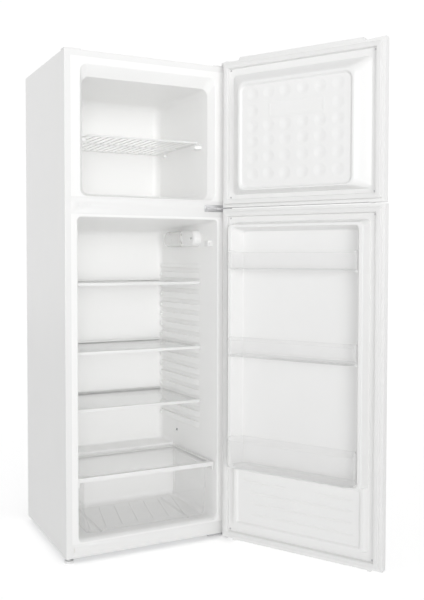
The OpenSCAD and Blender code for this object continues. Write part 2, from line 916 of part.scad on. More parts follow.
// Outline of a shelf that follows the tapering side walls
module shelf_outline(gap, y0, y1) {
    polygon([[-hw(y0) + gap, y0], [hw(y0) - gap, y0], [hw(y1) - gap, y1], [-hw(y1) + gap, y1]]);
}

// Underside of glass shelf k
function shelf_z(k) = slot_z0 + shelf_slots[k] * slot_pitch + touch;

// Glass of shelf k
module shelf_glass(k) {
    color("lightcyan", 0.5) translate([0, 0, shelf_z(k)])
        linear_extrude(glass_t) shelf_outline(shelf_gap, shelf_y0 + 3, shelf_y1);
}

// Front and rear trims of shelf k, slotted for the glass
module shelf_trims(k) {
    rear_half = hw(rib_y1) - rib_out - 3;
    color("white") difference() {
        union() {
            translate([0, 0, shelf_z(k) - 2.5]) linear_extrude(trim_h)
                shelf_outline(shelf_gap, shelf_y0, shelf_y0 + trim_d - 0.5);
            wide_box(rear_half, shelf_y1 - 8, shelf_y1 + 2, shelf_z(k) - 2, shelf_z(k) + 9);
        }
        shelf_glass(k);
    }
}

module shelf_glass_bottom() { shelf_glass(0); }
module shelf_glass_middle() { shelf_glass(1); }
module shelf_glass_top() { shelf_glass(2); }
module shelf_trims_bottom() { shelf_trims(0); }
module shelf_trims_middle() { shelf_trims(1); }
module shelf_trims_top() { shelf_trims(2); }

// ---- Crisper ----

cover_y = [18, 285];
cover_gap = 3;

// Glass pane of the crisper's cover
module crisper_cover_glass() {
    color("lightcyan", 0.5) translate([0, 0, cover_z + cover_h - 5])
        linear_extrude(4) shelf_outline(cover_gap + 9, cover_y[0] + 12, cover_y[1] - 10);
}

// Moulded frame round that pane, with a bracket at each front end
module crisper_cover_frame() {
    color("white") difference() {
        union() {
            translate([0, 0, cover_z]) linear_extrude(cover_h)
                shelf_outline(cover_gap, cover_y[0], cover_y[1]);
            for (s = [0, 1]) mirror([s, 0, 0])
                translate([hw(cover_y[0]) - cover_gap - 5, cover_y[0], cover_z - 14])
                    cube([4, 38, 14 + cut]);
        }
        translate([0, 0, cover_z - cut]) linear_extrude(cover_h + 2 * cut)
            shelf_outline(cover_gap + 14, cover_y[0] + 17, cover_y[1] - 15);
        translate([0, 0, cover_z - cut]) linear_extrude(cover_h - 7 + cut)
            shelf_outline(cover_gap + 4, cover_y[0] + 4, cover_y[1] - 4);
        crisper_cover_glass();
    }
}

// Outline of the drawer at one height: the width shrinks a little downwards
module drawer_slab(inset, z) {
    translate([0, drawer_y0 + inset, z]) linear_extrude(thin)
        rounded2d(drawer_w - 2 * inset, drawer_d - 2 * inset, 14 - inset / 2, $fn = 32);
}

// Space of the drawer, inset by a wall
module drawer_space(inset, z0, z1) {
    hull() {
        drawer_slab(inset + 10, z0);
        drawer_slab(inset + 5, z0 + 12);
        drawer_slab(inset + 4, drawer_step_z);
    }
    hull() {
        drawer_slab(inset + 2, drawer_step_z - 2);
        drawer_slab(inset, z1);
    }
}

// Clear vegetable drawer on two runners
module crisper_drawer() {
    z0 = fr_floor_z + drawer_lift;
    color("aliceblue", 0.5) {
        difference() {
            drawer_space(0, z0, drawer_top);
            drawer_space(drawer_t, z0 + drawer_t, drawer_top + cut);
        }
        for (x = [-150, 150]) translate([x - 2, drawer_y0 + 20, fr_floor_z + touch])
            cube([4, drawer_d - 40, drawer_lift + 1]);
    }
}

// ---- Hinges ----

// Fixed pin of a hinge, from height z0 to z1
module hinge_pin(z0, z1) {
    translate([pin_x, pin_y, z0]) cylinder(h = z1 - z0, r = pin_r);
}

// Tongue of a hinge plate that reaches out to the pin
module hinge_tongue(z) {
    translate([pin_x - 12, pin_y, z]) cube([22, -pin_y, hinge_t]);
    translate([pin_x - 1, pin_y, z]) cylinder(h = hinge_t, r = 11);
}

// Angled top hinge with its pin
module top_hinge() {
    z = fzd_z1 + 1.2;
    color("silver") difference() {
        union() {
            translate([half_w - 53, 0, cab_top]) cube([48, 40, hinge_t]);
            translate([pin_x - 12, 0, cab_top]) cube([22, hinge_t, z - cab_top + hinge_t]);
            hinge_tongue(z);
            hinge_pin(fzd_z1 - pin_reach, z + hinge_t);
        }
        top_screws();
    }
}

// Middle hinge with a pin for each door
module middle_hinge() {
    z = frd_z1 + (door_split - hinge_t) / 2;
    color("silver") difference() {
        union() {
            translate([half_w - 87, -hinge_t, rail_mid - 10]) cube([82, hinge_t, 22]);
            hinge_tongue(z);
            hinge_pin(frd_z1 - pin_reach, fzd_z0 + pin_reach);
        }
        hinge_screws();
    }
}

// Bottom hinge under the base plate, which the right front foot also passes through
module bottom_hinge() {
    z = frd_z0 - 0.8 - hinge_t;
    color("silver") difference() {
        union() {
            hinge_tongue(z);
            translate([half_w - 72, 0, z]) cube([69, 44, cab_bottom - z]);
            hinge_pin(z, frd_z0 + pin_reach);
        }
        up_screws();
        translate([foot_x, foot_y, 0]) cylinder(h = 40, r = stud_r + run_gap);
    }
}

module top_screws() {
    for (x = top_screw_x) down_screw(x, 24, cab_top + hinge_t);
}

module up_screws() {
    z = frd_z0 - 0.8 - hinge_t;
    for (x = foot_screw_x) up_screw(x, 30, z);
}

// Screws of all three hinges
module hinge_screws() {
    color("silver") {
        top_screws();
        for (x = hinge_screw_x) front_screw(x, -hinge_t, rail_mid);
        up_screws();
    }
}

// ---- Doors, drawn shut and then swung open about the hinge pins ----

panel_foot = half_w - 40;
freezer_ridge_half = 195;
freezer_dish_half = 189.5;
dish_depth = 6;
dyke_half = [half_w - 45, half_w - 48.5];
recess_half = [195, 214.5];
recess_floor = 3;
recess_z = [frd_z0 + 248, frd_z1 - 61.5];
lower_top = frd_z0 + 244;
lower_z0 = fr_mouth_z0 + (fr_floor_z - fr_mouth_z0) * (lower_h - door_gap) / fr_lip_d + sill_gap;
lower_foot = half_w - 40.5;
lower_half = lower_foot - 12.5;
lower_rim = 9;
lower_depth = 4;
corner_rise = 4.5;
bottom_rise = 3.5;
bin_corner = 25;
bin_root = 4;
bin_raise = 6;
bin_lug = [36, 44];
door_screw_in = 31;

// Swings its child about the hinge axis
module swing(angle) {
    translate([pin_x, pin_y, 0])
        rotate([0, 0, angle])
            translate([-pin_x, -pin_y, 0]) children();
}

// Plan of a door, inset on every side
module door_plan(inset) {
    r = door_r;
    translate([0, -door_gap - door_t]) {
        translate([-half_w + inset, r]) square([2 * (half_w - inset), door_t - r - inset]);
        translate([-half_w + r, inset]) square([2 * (half_w - r), door_t - 2 * inset]);
        for (x = [-half_w + r, half_w - r]) translate([x, r]) circle(r - inset);
    }
}

// Rounded slice parallel to the door, whose inner face stands p beyond the door's flange
module door_slice(half, z0, z1, r, p) {
    translate([0, p - door_gap, z0])
        rotate([90, 0, 0])
            linear_extrude(thin)
                rounded2d(2 * half, z1 - z0, r, $fn = 32);
}

// Folded steel of a door between its end caps
module door_skin(z0, h) {
    translate([0, 0, z0 + cap_h]) linear_extrude(h - 2 * cap_h) difference() {
        door_plan(0);
        door_plan(sheet);
        translate([-half_w + gasket_in, -door_gap - sheet - cut])
            square([2 * (half_w - gasket_in), sheet + 2 * cut]);
    }
}

// Lower end cap with the hinge bush, on height 0
module end_cap() {
    difference() {
        union() {
            linear_extrude(cap_h) door_plan(0);
            translate([pin_x, pin_y, 0]) cylinder(h = boss_h, r = boss_r);
        }
        translate([pin_x, pin_y, -cut])
            cylinder(h = pin_reach + 1 + cut, r = pin_r + run_gap);
    }
}

// Small stop under a door, at distance x from the middle
module door_stop(x, z, h) {
    translate([x - 6, -door_gap - door_t + 6, z - h]) cube([12, door_t - 12, h + thin]);
}

// Flat border sheet of a door liner
module door_border(z0, h) {
    translate([-half_w + gasket_in, -door_gap - liner_t, z0 + cap_h])
        cube([2 * (half_w - gasket_in), liner_t, h - 2 * cap_h]);
}

// Foam between the skin and the flat border
module door_core(z0, h) {
    difference() {
        translate([0, 0, z0 + cap_h]) linear_extrude(h - 2 * cap_h) door_plan(sheet);
        door_border(z0, h);
        translate([pin_x, pin_y, z0]) cylinder(h = boss_h, r = boss_r);
        translate([pin_x, pin_y, z0 + h - boss_h]) cylinder(h = boss_h, r = boss_r);
    }
}

// Magnetic gasket round a door liner
module door_gasket(z0, h) {
    inner = gasket_in + gasket_w;
    color("white") translate([0, gasket_t - door_gap, 0]) rotate([90, 0, 0])
        linear_extrude(gasket_t) difference() {
            translate([0, z0 + gasket_in]) rounded2d(cab_w - 2 * gasket_in, h - 2 * gasket_in, 5);
            translate([0, z0 + inner]) rounded2d(cab_w - 2 * inner, h - 2 * inner, 3);
        }
}

// Screws at a door liner's corners
module door_screws(z0, h) {
    color("gray") for (x = [-1, 1], z = [z0 + door_screw_in, z0 + h - door_screw_in])
        translate([x * (half_w - door_screw_in), -door_gap, z]) rotate([90, 0, 0]) {
            translate([0, 0, -1.2]) cylinder(h = 1.2, r = 3);
            cylinder(h = 12, r = 1.6);
        }
}

// Raised panel of the freezer door, shrunk by s; its middle is dished
module freezer_panel(s) {
    difference() {
        hull() {
            door_slice(panel_foot - s, fzd_z0 + 39 + s, fzd_z1 - 47 - s, 12, -s);
            door_slice(freezer_ridge_half - s, fzd_z0 + 49 + s, fzd_z1 - 80 - s, 25, panel_h - s);
        }
        translate([0, 0, fzd_z0 + 51 - s]) translate([0, panel_h - door_gap + cut, 0])
            rotate([90, 0, 0]) linear_extrude(dish_depth + cut + 2 * s)
                rounded2d(2 * (freezer_dish_half + s / 2), fzd_h - 138 + 2 * s, 24);
    }
}

// Raised dykes and lower box of the fridge door, shrunk by s
module fridge_panel(s) {
    difference() {
        hull() {
            door_slice(dyke_half[0] - s, lower_top - 6 + s, frd_z1 - 43.5 - s, 12, -s);
            door_slice(dyke_half[1] - s, lower_top + s, frd_z1 - 52.5 - s, 15, dyke_h - s);
        }
        hull() {
            door_slice(recess_half[0] + s, recess_z[0] + 4 - s, recess_z[1] - 12 + s, 10,
                       recess_floor - s);
            door_slice(recess_half[1] + s, recess_z[0] - s, recess_z[1] + s, 12, dyke_h + cut);
        }
    }
    difference() {
        hull() {
            door_slice(lower_foot - s, lower_z0 - 2 + s, lower_top + 4 - s, 12, -s);
            door_slice(lower_half - s, lower_z0 + s, lower_top - s, 12, lower_h - s);
        }
        wide_box(lower_half - lower_rim + s, lower_h - lower_depth - door_gap - 1.5 * s,
                 lower_h - door_gap + cut, lower_z0 + lower_rim - s, lower_top - 8 + s);
    }
}

// Grooves on the lower box of the fridge door
module lower_grooves() {
    top = lower_h - door_gap - lower_depth;
    for (g = [[41, 188, 199], [-181, -65, 199], [-182, 173, 165], [-179, 155, 131],
              [-185, 162, 96]])
        translate([g[0], top - 0.8, frd_z0 + g[2]])
            cube([g[1] - g[0], 1, 3]);
}

// Lugs that carry the door bins on the dykes' inner walls
module bin_lugs() {
    slope = (recess_half[1] - recess_half[0]) / (dyke_h - recess_floor);
    root = [for (p = bin_lug) recess_half[0] + slope * (p - recess_floor) + 1];
    for (s = [0, 1], z = bin_z) mirror([s, 0, 0]) translate([0, -door_gap, z - 7])
        linear_extrude(7 - touch)
            polygon([[202, bin_lug[0]], [root[0], bin_lug[0]], [root[1], bin_lug[1]],
                     [202, bin_lug[1]]]);
}

// Spare notches for the bins
module bin_notches() {
    for (s = [0, 1], z = [585, 665, 729, 808]) mirror([s, 0, 0])
        translate([200, 37 - door_gap, z - 4]) cube([11.4, 5, 8]);
}

module freezer_door_skin() {
    color("white") swing(freezer_open) door_skin(fzd_z0, fzd_h);
}

module freezer_door_caps() {
    color("white") swing(freezer_open) {
        translate([0, 0, fzd_z0]) end_cap();
        door_stop(-half_w + 44, fzd_z0, 2);
        translate([0, 0, fzd_z1]) mirror([0, 0, 1]) end_cap();
        translate([0, -door_gap - 2, fzd_z1 - thin]) rotate([90, 0, 0])
            linear_extrude(door_t - 4)
                polygon([[-half_w + 63, 0], [-half_w + 70, crown_h], [half_w - 61, crown_h],
                         [half_w - 55, 0]]);
        translate([0, -door_gap - 2, fzd_z1 - thin]) rotate([90, 0, 0])
            linear_extrude(door_t - door_r - 2)
                polygon([[-half_w + 1, 0], [-half_w + 1, corner_rise],
                         [-half_w + 18, corner_rise - 1], [-half_w + 60, 0]]);
    }
}

module freezer_door_liner() {
    color("white") swing(freezer_open) difference() {
        union() {
            door_border(fzd_z0, fzd_h);
            freezer_panel(0);
        }
        freezer_panel(liner_t);
        door_screws(fzd_z0, fzd_h);
    }
}

module freezer_door_foam() {
    color("khaki") swing(freezer_open) difference() {
        union() {
            door_core(fzd_z0, fzd_h);
            freezer_panel(liner_t);
        }
        door_screws(fzd_z0, fzd_h);
    }
}

module freezer_door_gasket() {
    swing(freezer_open) door_gasket(fzd_z0, fzd_h);
}

module freezer_door_screws() {
    swing(freezer_open) door_screws(fzd_z0, fzd_h);
}

module fridge_door_skin() {
    color("white") swing(fridge_open) door_skin(frd_z0, frd_h);
}

module fridge_door_caps() {
    color("white") swing(fridge_open) {
        translate([0, 0, frd_z0]) end_cap();
        for (x = [-half_w + 44, half_w - 42]) door_stop(x, frd_z0, 8);
        translate([0, -door_gap - 2, frd_z0 + thin]) rotate([90, 0, 0])
            linear_extrude(door_t - 4)
                polygon([[-half_w + 38, 0], [-half_w + 46, -bottom_rise],
                         [half_w - 44, -bottom_rise], [half_w - 36, 0]]);
        translate([0, 0, frd_z1]) mirror([0, 0, 1]) end_cap();
    }
}

module fridge_door_liner() {
    color("white") swing(fridge_open) {
        difference() {
            union() {
                door_border(frd_z0, frd_h);
                fridge_panel(0);
                bin_lugs();
            }
            fridge_panel(liner_t);
            door_screws(frd_z0, frd_h);
            lower_grooves();
            bin_notches();
        }
    }
}

module fridge_door_foam() {
    color("khaki") swing(fridge_open) difference() {
        union() {
            door_core(frd_z0, frd_h);
            fridge_panel(liner_t);
        }
        door_screws(frd_z0, frd_h);
    }
}

module fridge_door_gasket() {
    swing(fridge_open) door_gasket(frd_z0, frd_h);
}

module fridge_door_screws() {
    swing(fridge_open) door_screws(frd_z0, frd_h);
}

// Plan of a door bin between the dykes, inset by a wall
module bin_plan(inset) {
    half = bin_half - inset;
    root_half = recess_half[0] - 2 - inset;
    flat = bin_out - bin_corner;
    translate([0, -door_gap]) {
        polygon([[-root_half, bin_root + inset], [root_half, bin_root + inset],
                 [half, dyke_h], [-half, dyke_h]]);
        translate([-half, dyke_h - thin]) square([2 * half, flat - dyke_h + thin]);
        translate([-bin_half + bin_corner, dyke_h - thin])
            square([2 * (bin_half - bin_corner), bin_out - inset - dyke_h + thin]);
        for (x = [-1, 1]) translate([x * (bin_half - bin_corner), flat])
            circle(bin_corner - inset);
    }
}

// Clear door bin k, with raised ends
module door_bin(k) {
    color("aliceblue", 0.5) swing(fridge_open) translate([0, 0, bin_z[k]]) {
        difference() {
            linear_extrude(bin_h[k]) bin_plan(0);
            translate([0, 0, bin_t]) linear_extrude(bin_h[k]) bin_plan(bin_t);
        }
        for (s = [0, 1]) mirror([s, 0, 0])
            translate([bin_half - bin_t, dyke_h - door_gap, bin_h[k] - thin])
                cube([bin_t, bin_out - bin_corner - dyke_h, bin_raise]);
    }
}

module door_bin_bottom() { door_bin(0); }
module door_bin_middle() { door_bin(1); }
module door_bin_top() { door_bin(2); }

outer_wrapper();
back_panel();
bottom_rail();
centre_rail();
rail_plugs();
corner_cap();
cabinet_foam();
freezer_liner();
fridge_liner();
base_plate();
evaporator_coil();
condenser_coils();
compressor();
compressor_mounts();
compressor_bolts();
relay_box();
refrigerant_pipes();
drain_tube();
evaporation_tray();
cord_gland();
wall_spacers();
front_foot_left();
front_foot_right();
rear_roller_left();
rear_roller_right();
lamp_housing();
lamp_lens();
lamp_bulb();
thermostat_knob();
door_switch_body();
door_switch_plunger();
wire_shelf();
shelf_glass_bottom();
shelf_glass_middle();
shelf_glass_top();
shelf_trims_bottom();
shelf_trims_middle();
shelf_trims_top();
crisper_cover_frame();
crisper_cover_glass();
crisper_drawer();
top_hinge();
middle_hinge();
bottom_hinge();
hinge_screws();
freezer_door_skin();
freezer_door_caps();
freezer_door_liner();
freezer_door_foam();
freezer_door_gasket();
fridge_door_skin();
fridge_door_caps();
fridge_door_liner();
fridge_door_foam();
fridge_door_gasket();
freezer_door_screws();
fridge_door_screws();
door_bin_bottom();
door_bin_middle();
door_bin_top();
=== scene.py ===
"""Dresses a top freezer refrigerator: sheet steel, moulded linings, clear trays and glass."""
import json
import math

import bmesh
import bpy
from mathutils import Matrix, Vector


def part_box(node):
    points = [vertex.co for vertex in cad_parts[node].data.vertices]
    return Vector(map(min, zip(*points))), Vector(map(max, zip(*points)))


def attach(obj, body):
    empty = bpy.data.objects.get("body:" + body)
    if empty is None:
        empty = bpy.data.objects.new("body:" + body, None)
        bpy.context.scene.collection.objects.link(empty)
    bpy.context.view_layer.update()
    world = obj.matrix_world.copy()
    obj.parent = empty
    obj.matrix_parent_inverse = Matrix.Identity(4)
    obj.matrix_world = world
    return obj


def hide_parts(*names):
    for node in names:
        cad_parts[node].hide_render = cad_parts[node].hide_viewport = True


bl_info = {
    "name": "Top freezer refrigerator",
    "version": (1, 0, 0),
    "blender": (4, 5, 0),
    "location": "View3D > Sidebar > Refrigerator",
    "description": "Builds the finished pieces of a top freezer refrigerator and its stage",
    "category": "Object",
}

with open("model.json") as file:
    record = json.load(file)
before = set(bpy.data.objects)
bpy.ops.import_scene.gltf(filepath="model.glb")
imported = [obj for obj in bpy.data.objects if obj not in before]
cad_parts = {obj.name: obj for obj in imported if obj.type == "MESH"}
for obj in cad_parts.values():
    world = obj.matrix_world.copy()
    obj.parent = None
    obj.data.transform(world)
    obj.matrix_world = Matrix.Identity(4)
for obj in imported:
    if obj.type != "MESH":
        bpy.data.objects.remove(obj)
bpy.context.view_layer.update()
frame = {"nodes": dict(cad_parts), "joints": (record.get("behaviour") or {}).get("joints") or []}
MM = 0.001
JOINTS = {j["name"]: j for j in frame["joints"]}

# ---- Places read from the frame ----


def low(node):
    """Lower corner of a CAD node's box."""
    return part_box(node)[0]


def high(node):
    """Upper corner of a CAD node's box."""
    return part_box(node)[1]


HALF_W = high("outer_wrapper").x
CAB_TOP = high("outer_wrapper").z
CAB_BOTTOM = low("outer_wrapper").z
CAB_DEPTH = high("outer_wrapper").y
HINGE = Vector(JOINTS["freezer_door_hinge"]["pos_m"]).to_2d()

# ---- Sizes shared by several pieces, in metres ----

DOOR_GAP = 12.9 * MM  # from the cabinet's front face to the door liner's flange
DOOR_CAP = 10 * MM  # how far the end caps stand past the door's skin
LINER_WALL = 2 * MM
RETURN = 19 * MM  # front return of the cabinet's outer sheet
REAR_RETURN = 10 * MM
SHEET = 0.8 * MM
FOLD = 1.8 * MM  # radius of the sheet's folds
CORNER_STEPS = 8  # faces in a rounded corner


def open_angle(joint):
    """How far a door stands open at rest: its joint's way back to shut."""
    return math.radians(-JOINTS[joint]["range_deg"][0])


def swing(joint):
    """Matrix that takes a door piece from its shut place to its place at rest."""
    pivot = Vector((HINGE.x, HINGE.y, 0))
    turn = Matrix.Rotation(open_angle(joint), 4, "Z")
    return Matrix.Translation(pivot) @ turn @ Matrix.Translation(-pivot)


# ---- Settings that a user would change ----


class FridgeFinish(bpy.types.PropertyGroup):
    """Colours of the painted and moulded finishes"""
    enamel_tone: bpy.props.FloatVectorProperty(
        name="Enamel", description="Colour of the painted steel", subtype="COLOR",
        default=(0.88, 0.88, 0.875), min=0, max=1)
    moulding_tone: bpy.props.FloatVectorProperty(
        name="Moulding", description="Colour of the white door liners and trims", subtype="COLOR",
        default=(0.885, 0.885, 0.88), min=0, max=1)
    lining_tone: bpy.props.FloatVectorProperty(
        name="Lining", description="Colour of the two compartments' linings", subtype="COLOR",
        default=(0.95, 0.95, 0.945), min=0, max=1)
    gasket_tone: bpy.props.FloatVectorProperty(
        name="Gasket", description="Colour of the door seals", subtype="COLOR",
        default=(0.85, 0.85, 0.845), min=0, max=1)


class FridgeDetail(bpy.types.PropertyGroup):
    """Sizes and counts of the small relief"""
    dimple_depth: bpy.props.FloatProperty(
        name="Dimple depth", description="Depth of the freezer door's dimples",
        subtype="DISTANCE", default=2.4 * MM, min=0, max=3.5 * MM)
    dimple_radius: bpy.props.FloatProperty(
        name="Dimple radius", description="Radius of the freezer door's dimples",
        subtype="DISTANCE", default=21 * MM, min=8 * MM, max=26 * MM)
    wire_count: bpy.props.IntProperty(
        name="Wires", description="Thin wires of the freezer shelf", default=17, min=9, max=25)
    drawer_ribs: bpy.props.IntProperty(
        name="Drawer ribs", description="Slanting ribs on the drawer's floor",
        default=7, min=3, max=12)


class FridgeStage(bpy.types.PropertyGroup):
    """Lights and lens"""
    sun_power: bpy.props.FloatProperty(
        name="Key light", description="Strength of the soft key light", default=1.36, min=0)
    side_power: bpy.props.FloatProperty(
        name="Side light", description="Strength of the light from the left", default=0.24, min=0)
    sky_power: bpy.props.FloatProperty(
        name="Sky light", description="Strength of the even surrounding light",
        default=0.6, min=0)
    lens: bpy.props.FloatProperty(
        name="Lens", description="Focal length of the camera in millimetres",
        default=47.57, min=20, max=120)


# ---- Materials ----

# Opaque finishes: tone or the setting that gives it, how far the tone wanders, scale of its
# clouds, roughness, strength and scale of the grain, metallic
OPAQUE = {
    "white_enamel": ("enamel_tone", 0.006, 9, 0.32, 0.05, 420, 0),
    "white_moulding": ("moulding_tone", 0.006, 6, 0.38, 0.04, 700, 0),
    "white_lining": ("lining_tone", 0.006, 6, 0.38, 0.04, 700, 0),
    "seal_vinyl": ("gasket_tone", 0.012, 14, 0.55, 0.12, 900, 0),
    "zinc_plate": ((0.6, 0.6, 0.61), 0.05, 60, 0.34, 0.08, 900, 1),
    "dark_bracket": ((0.05, 0.05, 0.052), 0.015, 40, 0.45, 0.1, 700, 0),
    "galvanised_sheet": ((0.62, 0.63, 0.64), 0.03, 22, 0.4, 0.06, 300, 0.9),
    "wire_coating": ((0.86, 0.86, 0.855), 0.01, 30, 0.35, 0.06, 900, 0),
    "copper_tube": ((0.72, 0.38, 0.22), 0.05, 50, 0.32, 0.05, 500, 1),
    "drawn_aluminium": ((0.75, 0.76, 0.78), 0.04, 70, 0.35, 0.05, 600, 1),
    "black_paint": ((0.02, 0.02, 0.021), 0.006, 12, 0.25, 0.08, 300, 0),
    "black_rubber": ((0.03, 0.03, 0.03), 0.01, 30, 0.75, 0.2, 500, 0),
    "grey_moulding": ((0.5, 0.5, 0.51), 0.02, 20, 0.5, 0.08, 600, 0),
    "wall_foam": ((0.86, 0.84, 0.78), 0.03, 90, 0.85, 0.5, 350, 0),
}

# See-through finishes: tone, how much shows face on and at a glancing angle, roughness, how
# far painted shade darkens the tone at a glancing angle
CLEAR = {
    "pane_glass": ((0.94, 0.955, 0.95), 0.02, 0.3, 0.02, 0.6),
    "clear_moulding": ((0.99, 0.99, 0.99), 0.06, 0.65, 0.08, 0.5),
    "drawer_moulding": ((0.98, 0.98, 0.98), 0.015, 0.5, 0.06, 0.5),
    "frosted_lens": ((0.97, 0.97, 0.965), 0.25, 0.9, 0.25, 0.6),
}
MADE = {}


def new_material(name):
    """Plain node material with what every recipe works on."""
    material = bpy.data.materials.new(name)
    material.use_nodes = True
    tree = material.node_tree
    return material, tree.nodes, tree.links, tree.nodes["Principled BSDF"]


def noise(nodes, links, scale, detail=2):
    """Noise of a scale on the piece's own coordinates; returns its socket."""
    place = nodes.new("ShaderNodeTexCoord")
    texture = nodes.new("ShaderNodeTexNoise")
    texture.inputs["Scale"].default_value = scale
    texture.inputs["Detail"].default_value = detail
    links.new(place.outputs["Object"], texture.inputs["Vector"])
    return texture.outputs["Fac"]


def between(nodes, links, source, low_value, high_value):
    """Socket that runs from one value to another as the source runs from 0 to 1."""
    reach = nodes.new("ShaderNodeMapRange")
    reach.inputs["To Min"].default_value = low_value
    reach.inputs["To Max"].default_value = high_value
    links.new(source, reach.inputs["Value"])
    return reach.outputs["Result"]


def two_tones(nodes, links, source, start, first, end, second):
    """Socket that blends two colours between two places of the source."""
    blend = nodes.new("ShaderNodeValToRGB")
    for stop, place, tone in zip(blend.color_ramp.elements, (start, end), (first, second)):
        stop.position = place
        stop.color = (*tone, 1)
    links.new(source, blend.inputs["Fac"])
    return blend.outputs["Color"]


def textured(name, tone, spread, grain, roughness, bump, bump_scale, metallic):
    """Opaque finish: two near tones in soft clouds, fine grain in the bump and the gloss."""
    if isinstance(tone, str):
        tone = getattr(bpy.context.scene.fridge_finish, tone)
    material, nodes, links, shader = new_material(name)
    dark = [max(c - spread, 0) for c in tone]
    light = [min(c + spread, 1) for c in tone]
    clouds = noise(nodes, links, grain, 4)
    links.new(two_tones(nodes, links, clouds, 0.3, dark, 0.7, light), shader.inputs["Base Color"])
    fine = noise(nodes, links, bump_scale, 3)
    gloss = between(nodes, links, fine, roughness - 0.04, roughness + 0.06)
    links.new(gloss, shader.inputs["Roughness"])
    relief_node = nodes.new("ShaderNodeBump")
    relief_node.inputs["Strength"].default_value = bump
    relief_node.inputs["Distance"].default_value = 0.3 * MM
    links.new(fine, relief_node.inputs["Height"])
    links.new(relief_node.outputs["Normal"], shader.inputs["Normal"])
    shader.inputs["Metallic"].default_value = metallic
    return material


def clear(name, tone, veil, rim, roughness, shade):
    """See-through moulding or glass: it lets light by and shines towards its rims, where painted
    shade greys its tone in place of the dark edges that refraction gives.
    """
    material, nodes, links, shader = new_material(name)
    slant = nodes.new("ShaderNodeLayerWeight")
    slant.inputs["Blend"].default_value = 0.5
    steep = nodes.new("ShaderNodeMath")
    steep.operation = "POWER"
    steep.inputs[1].default_value = 3.0
    links.new(slant.outputs["Facing"], steep.inputs[0])
    steep = steep.outputs["Value"]
    # painted shade: the tone darkens at glancing angles to stand in for the dark rims that
    # refraction gives
    edge = two_tones(nodes, links, steep, 0.3, tone, 0.95, [c * shade for c in tone])
    links.new(edge, shader.inputs["Base Color"])
    haze = between(nodes, links, noise(nodes, links, 18), roughness, roughness + 0.08)
    links.new(haze, shader.inputs["Roughness"])
    window = nodes.new("ShaderNodeBsdfTransparent")
    mix = nodes.new("ShaderNodeMixShader")
    links.new(between(nodes, links, steep, veil, rim), mix.inputs["Fac"])
    links.new(window.outputs["BSDF"], mix.inputs[1])
    links.new(shader.outputs["BSDF"], mix.inputs[2])
    links.new(mix.outputs["Shader"], nodes["Material Output"].inputs["Surface"])
    return material


def coat(name):
    """Material of a finish, made when it is first asked for."""
    if name not in MADE:
        MADE[name] = clear(name, *CLEAR[name]) if name in CLEAR else textured(name, *OPAQUE[name])
    return MADE[name]


def paint(obj, finish):
    """Gives every face of an object one finish."""
    obj.data.materials.clear()
    obj.data.materials.append(coat(finish))
    return obj


# ---- Mesh helpers ----


def link(data, name):
    """New object of the scene with given data."""
    obj = bpy.data.objects.new(name, data)
    bpy.context.scene.collection.objects.link(obj)
    return obj


def apply_modifiers(obj):
    """Turns the evaluated object into plain mesh."""
    graph = bpy.context.evaluated_depsgraph_get()
    mesh = bpy.data.meshes.new_from_object(obj.evaluated_get(graph))
    old = obj.data
    obj.modifiers.clear()
    obj.data = mesh
    bpy.data.meshes.remove(old)
    return obj


def modify(obj, kind, **settings):
    """Adds a modifier of a kind with its settings."""
    modifier = obj.modifiers.new(kind.title(), kind)
    for key, value in settings.items():
        setattr(modifier, key, value)
    return obj


def bevel(obj, width, segments=3, angle=35):
    """Adds a modifier that rounds the edges sharper than the angle."""
    return modify(obj, "BEVEL", width=width, segments=segments, limit_method="ANGLE",
                  angle_limit=math.radians(angle), miter_outer="MITER_ARC",
                  harden_normals=False)


def smooth(obj, angle=40):
    """Smooth shading that keeps edges sharper than the angle."""
    obj.data.shade_smooth()
    obj.data.set_sharp_from_angle(angle=math.radians(angle))
    return obj


def softened(node, finish, width, body, segments=2, open_frame=False):
    """Copy of a CAD node with its edges rounded, which stands for the node.

    The faces of an open frame go round a hole, so they are cut up before the bevel.
    """
    mesh = frame["nodes"][node].data.copy()
    obj = link(mesh, node + "_finish")
    bm = bmesh.new()
    bm.from_mesh(mesh)
    bmesh.ops.remove_doubles(bm, verts=bm.verts, dist=0.004 * MM)
    bmesh.ops.dissolve_limit(bm, angle_limit=math.radians(0.6), verts=bm.verts, edges=bm.edges)
    if open_frame:
        bmesh.ops.triangulate(bm, faces=[f for f in bm.faces if len(f.verts) > 4])
    bm.to_mesh(mesh)
    bm.free()
    if width > 0:
        bevel(obj, width, segments)
        apply_modifiers(obj)
    return finish_piece(obj, body, node, finish)


def soften_all(body, *pieces):
    """Rounds CAD nodes of one body, each given as its name, finish and width in millimetres."""
    for node, finish, width in pieces:
        softened(node, finish, width * MM, body)


def finish_piece(obj, body, node, finish, angle=40):
    """Shades, paints and seats a made piece; it stands for a CAD node if one is given."""
    smooth(obj, angle)
    paint(obj, finish)
    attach(obj, body)
    if node:
        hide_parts(node)
    return obj


def rounded_ring(half, z0, z1, radius, y):
    """Points of a rounded rectangle that faces -y, with the same number of points each time."""
    points = []
    corners = [(half - radius, z1 - radius, 0), (-half + radius, z1 - radius, 90),
               (-half + radius, z0 + radius, 180), (half - radius, z0 + radius, 270)]
    for cx, cz, start in corners:
        for i in range(CORNER_STEPS + 1):
            a = math.radians(start + 90 * i / CORNER_STEPS)
            points.append(Vector((cx + radius * math.cos(a), y, cz + radius * math.sin(a))))
    return points


def ring_faces(bm, rings):
    """Quads between successive rings of equal length; returns the rings' vertices."""
    rows = [[bm.verts.new(p) for p in ring] for ring in rings]
    for a, b in zip(rows, rows[1:]):
        n = len(a)
        for i in range(n):
            bm.faces.new((a[i], a[(i + 1) % n], b[(i + 1) % n], b[i]))
    return rows


def capped(name, rings, ends=(0, -1), bm=None, matrix=None):
    """Mesh through a row of rings, with a face over each of the end rings that are named."""
    bm = bm or bmesh.new()
    rows = ring_faces(bm, rings)
    for end in ends:
        bm.faces.new(rows[end])
    return mesh_from(bm, name, matrix)


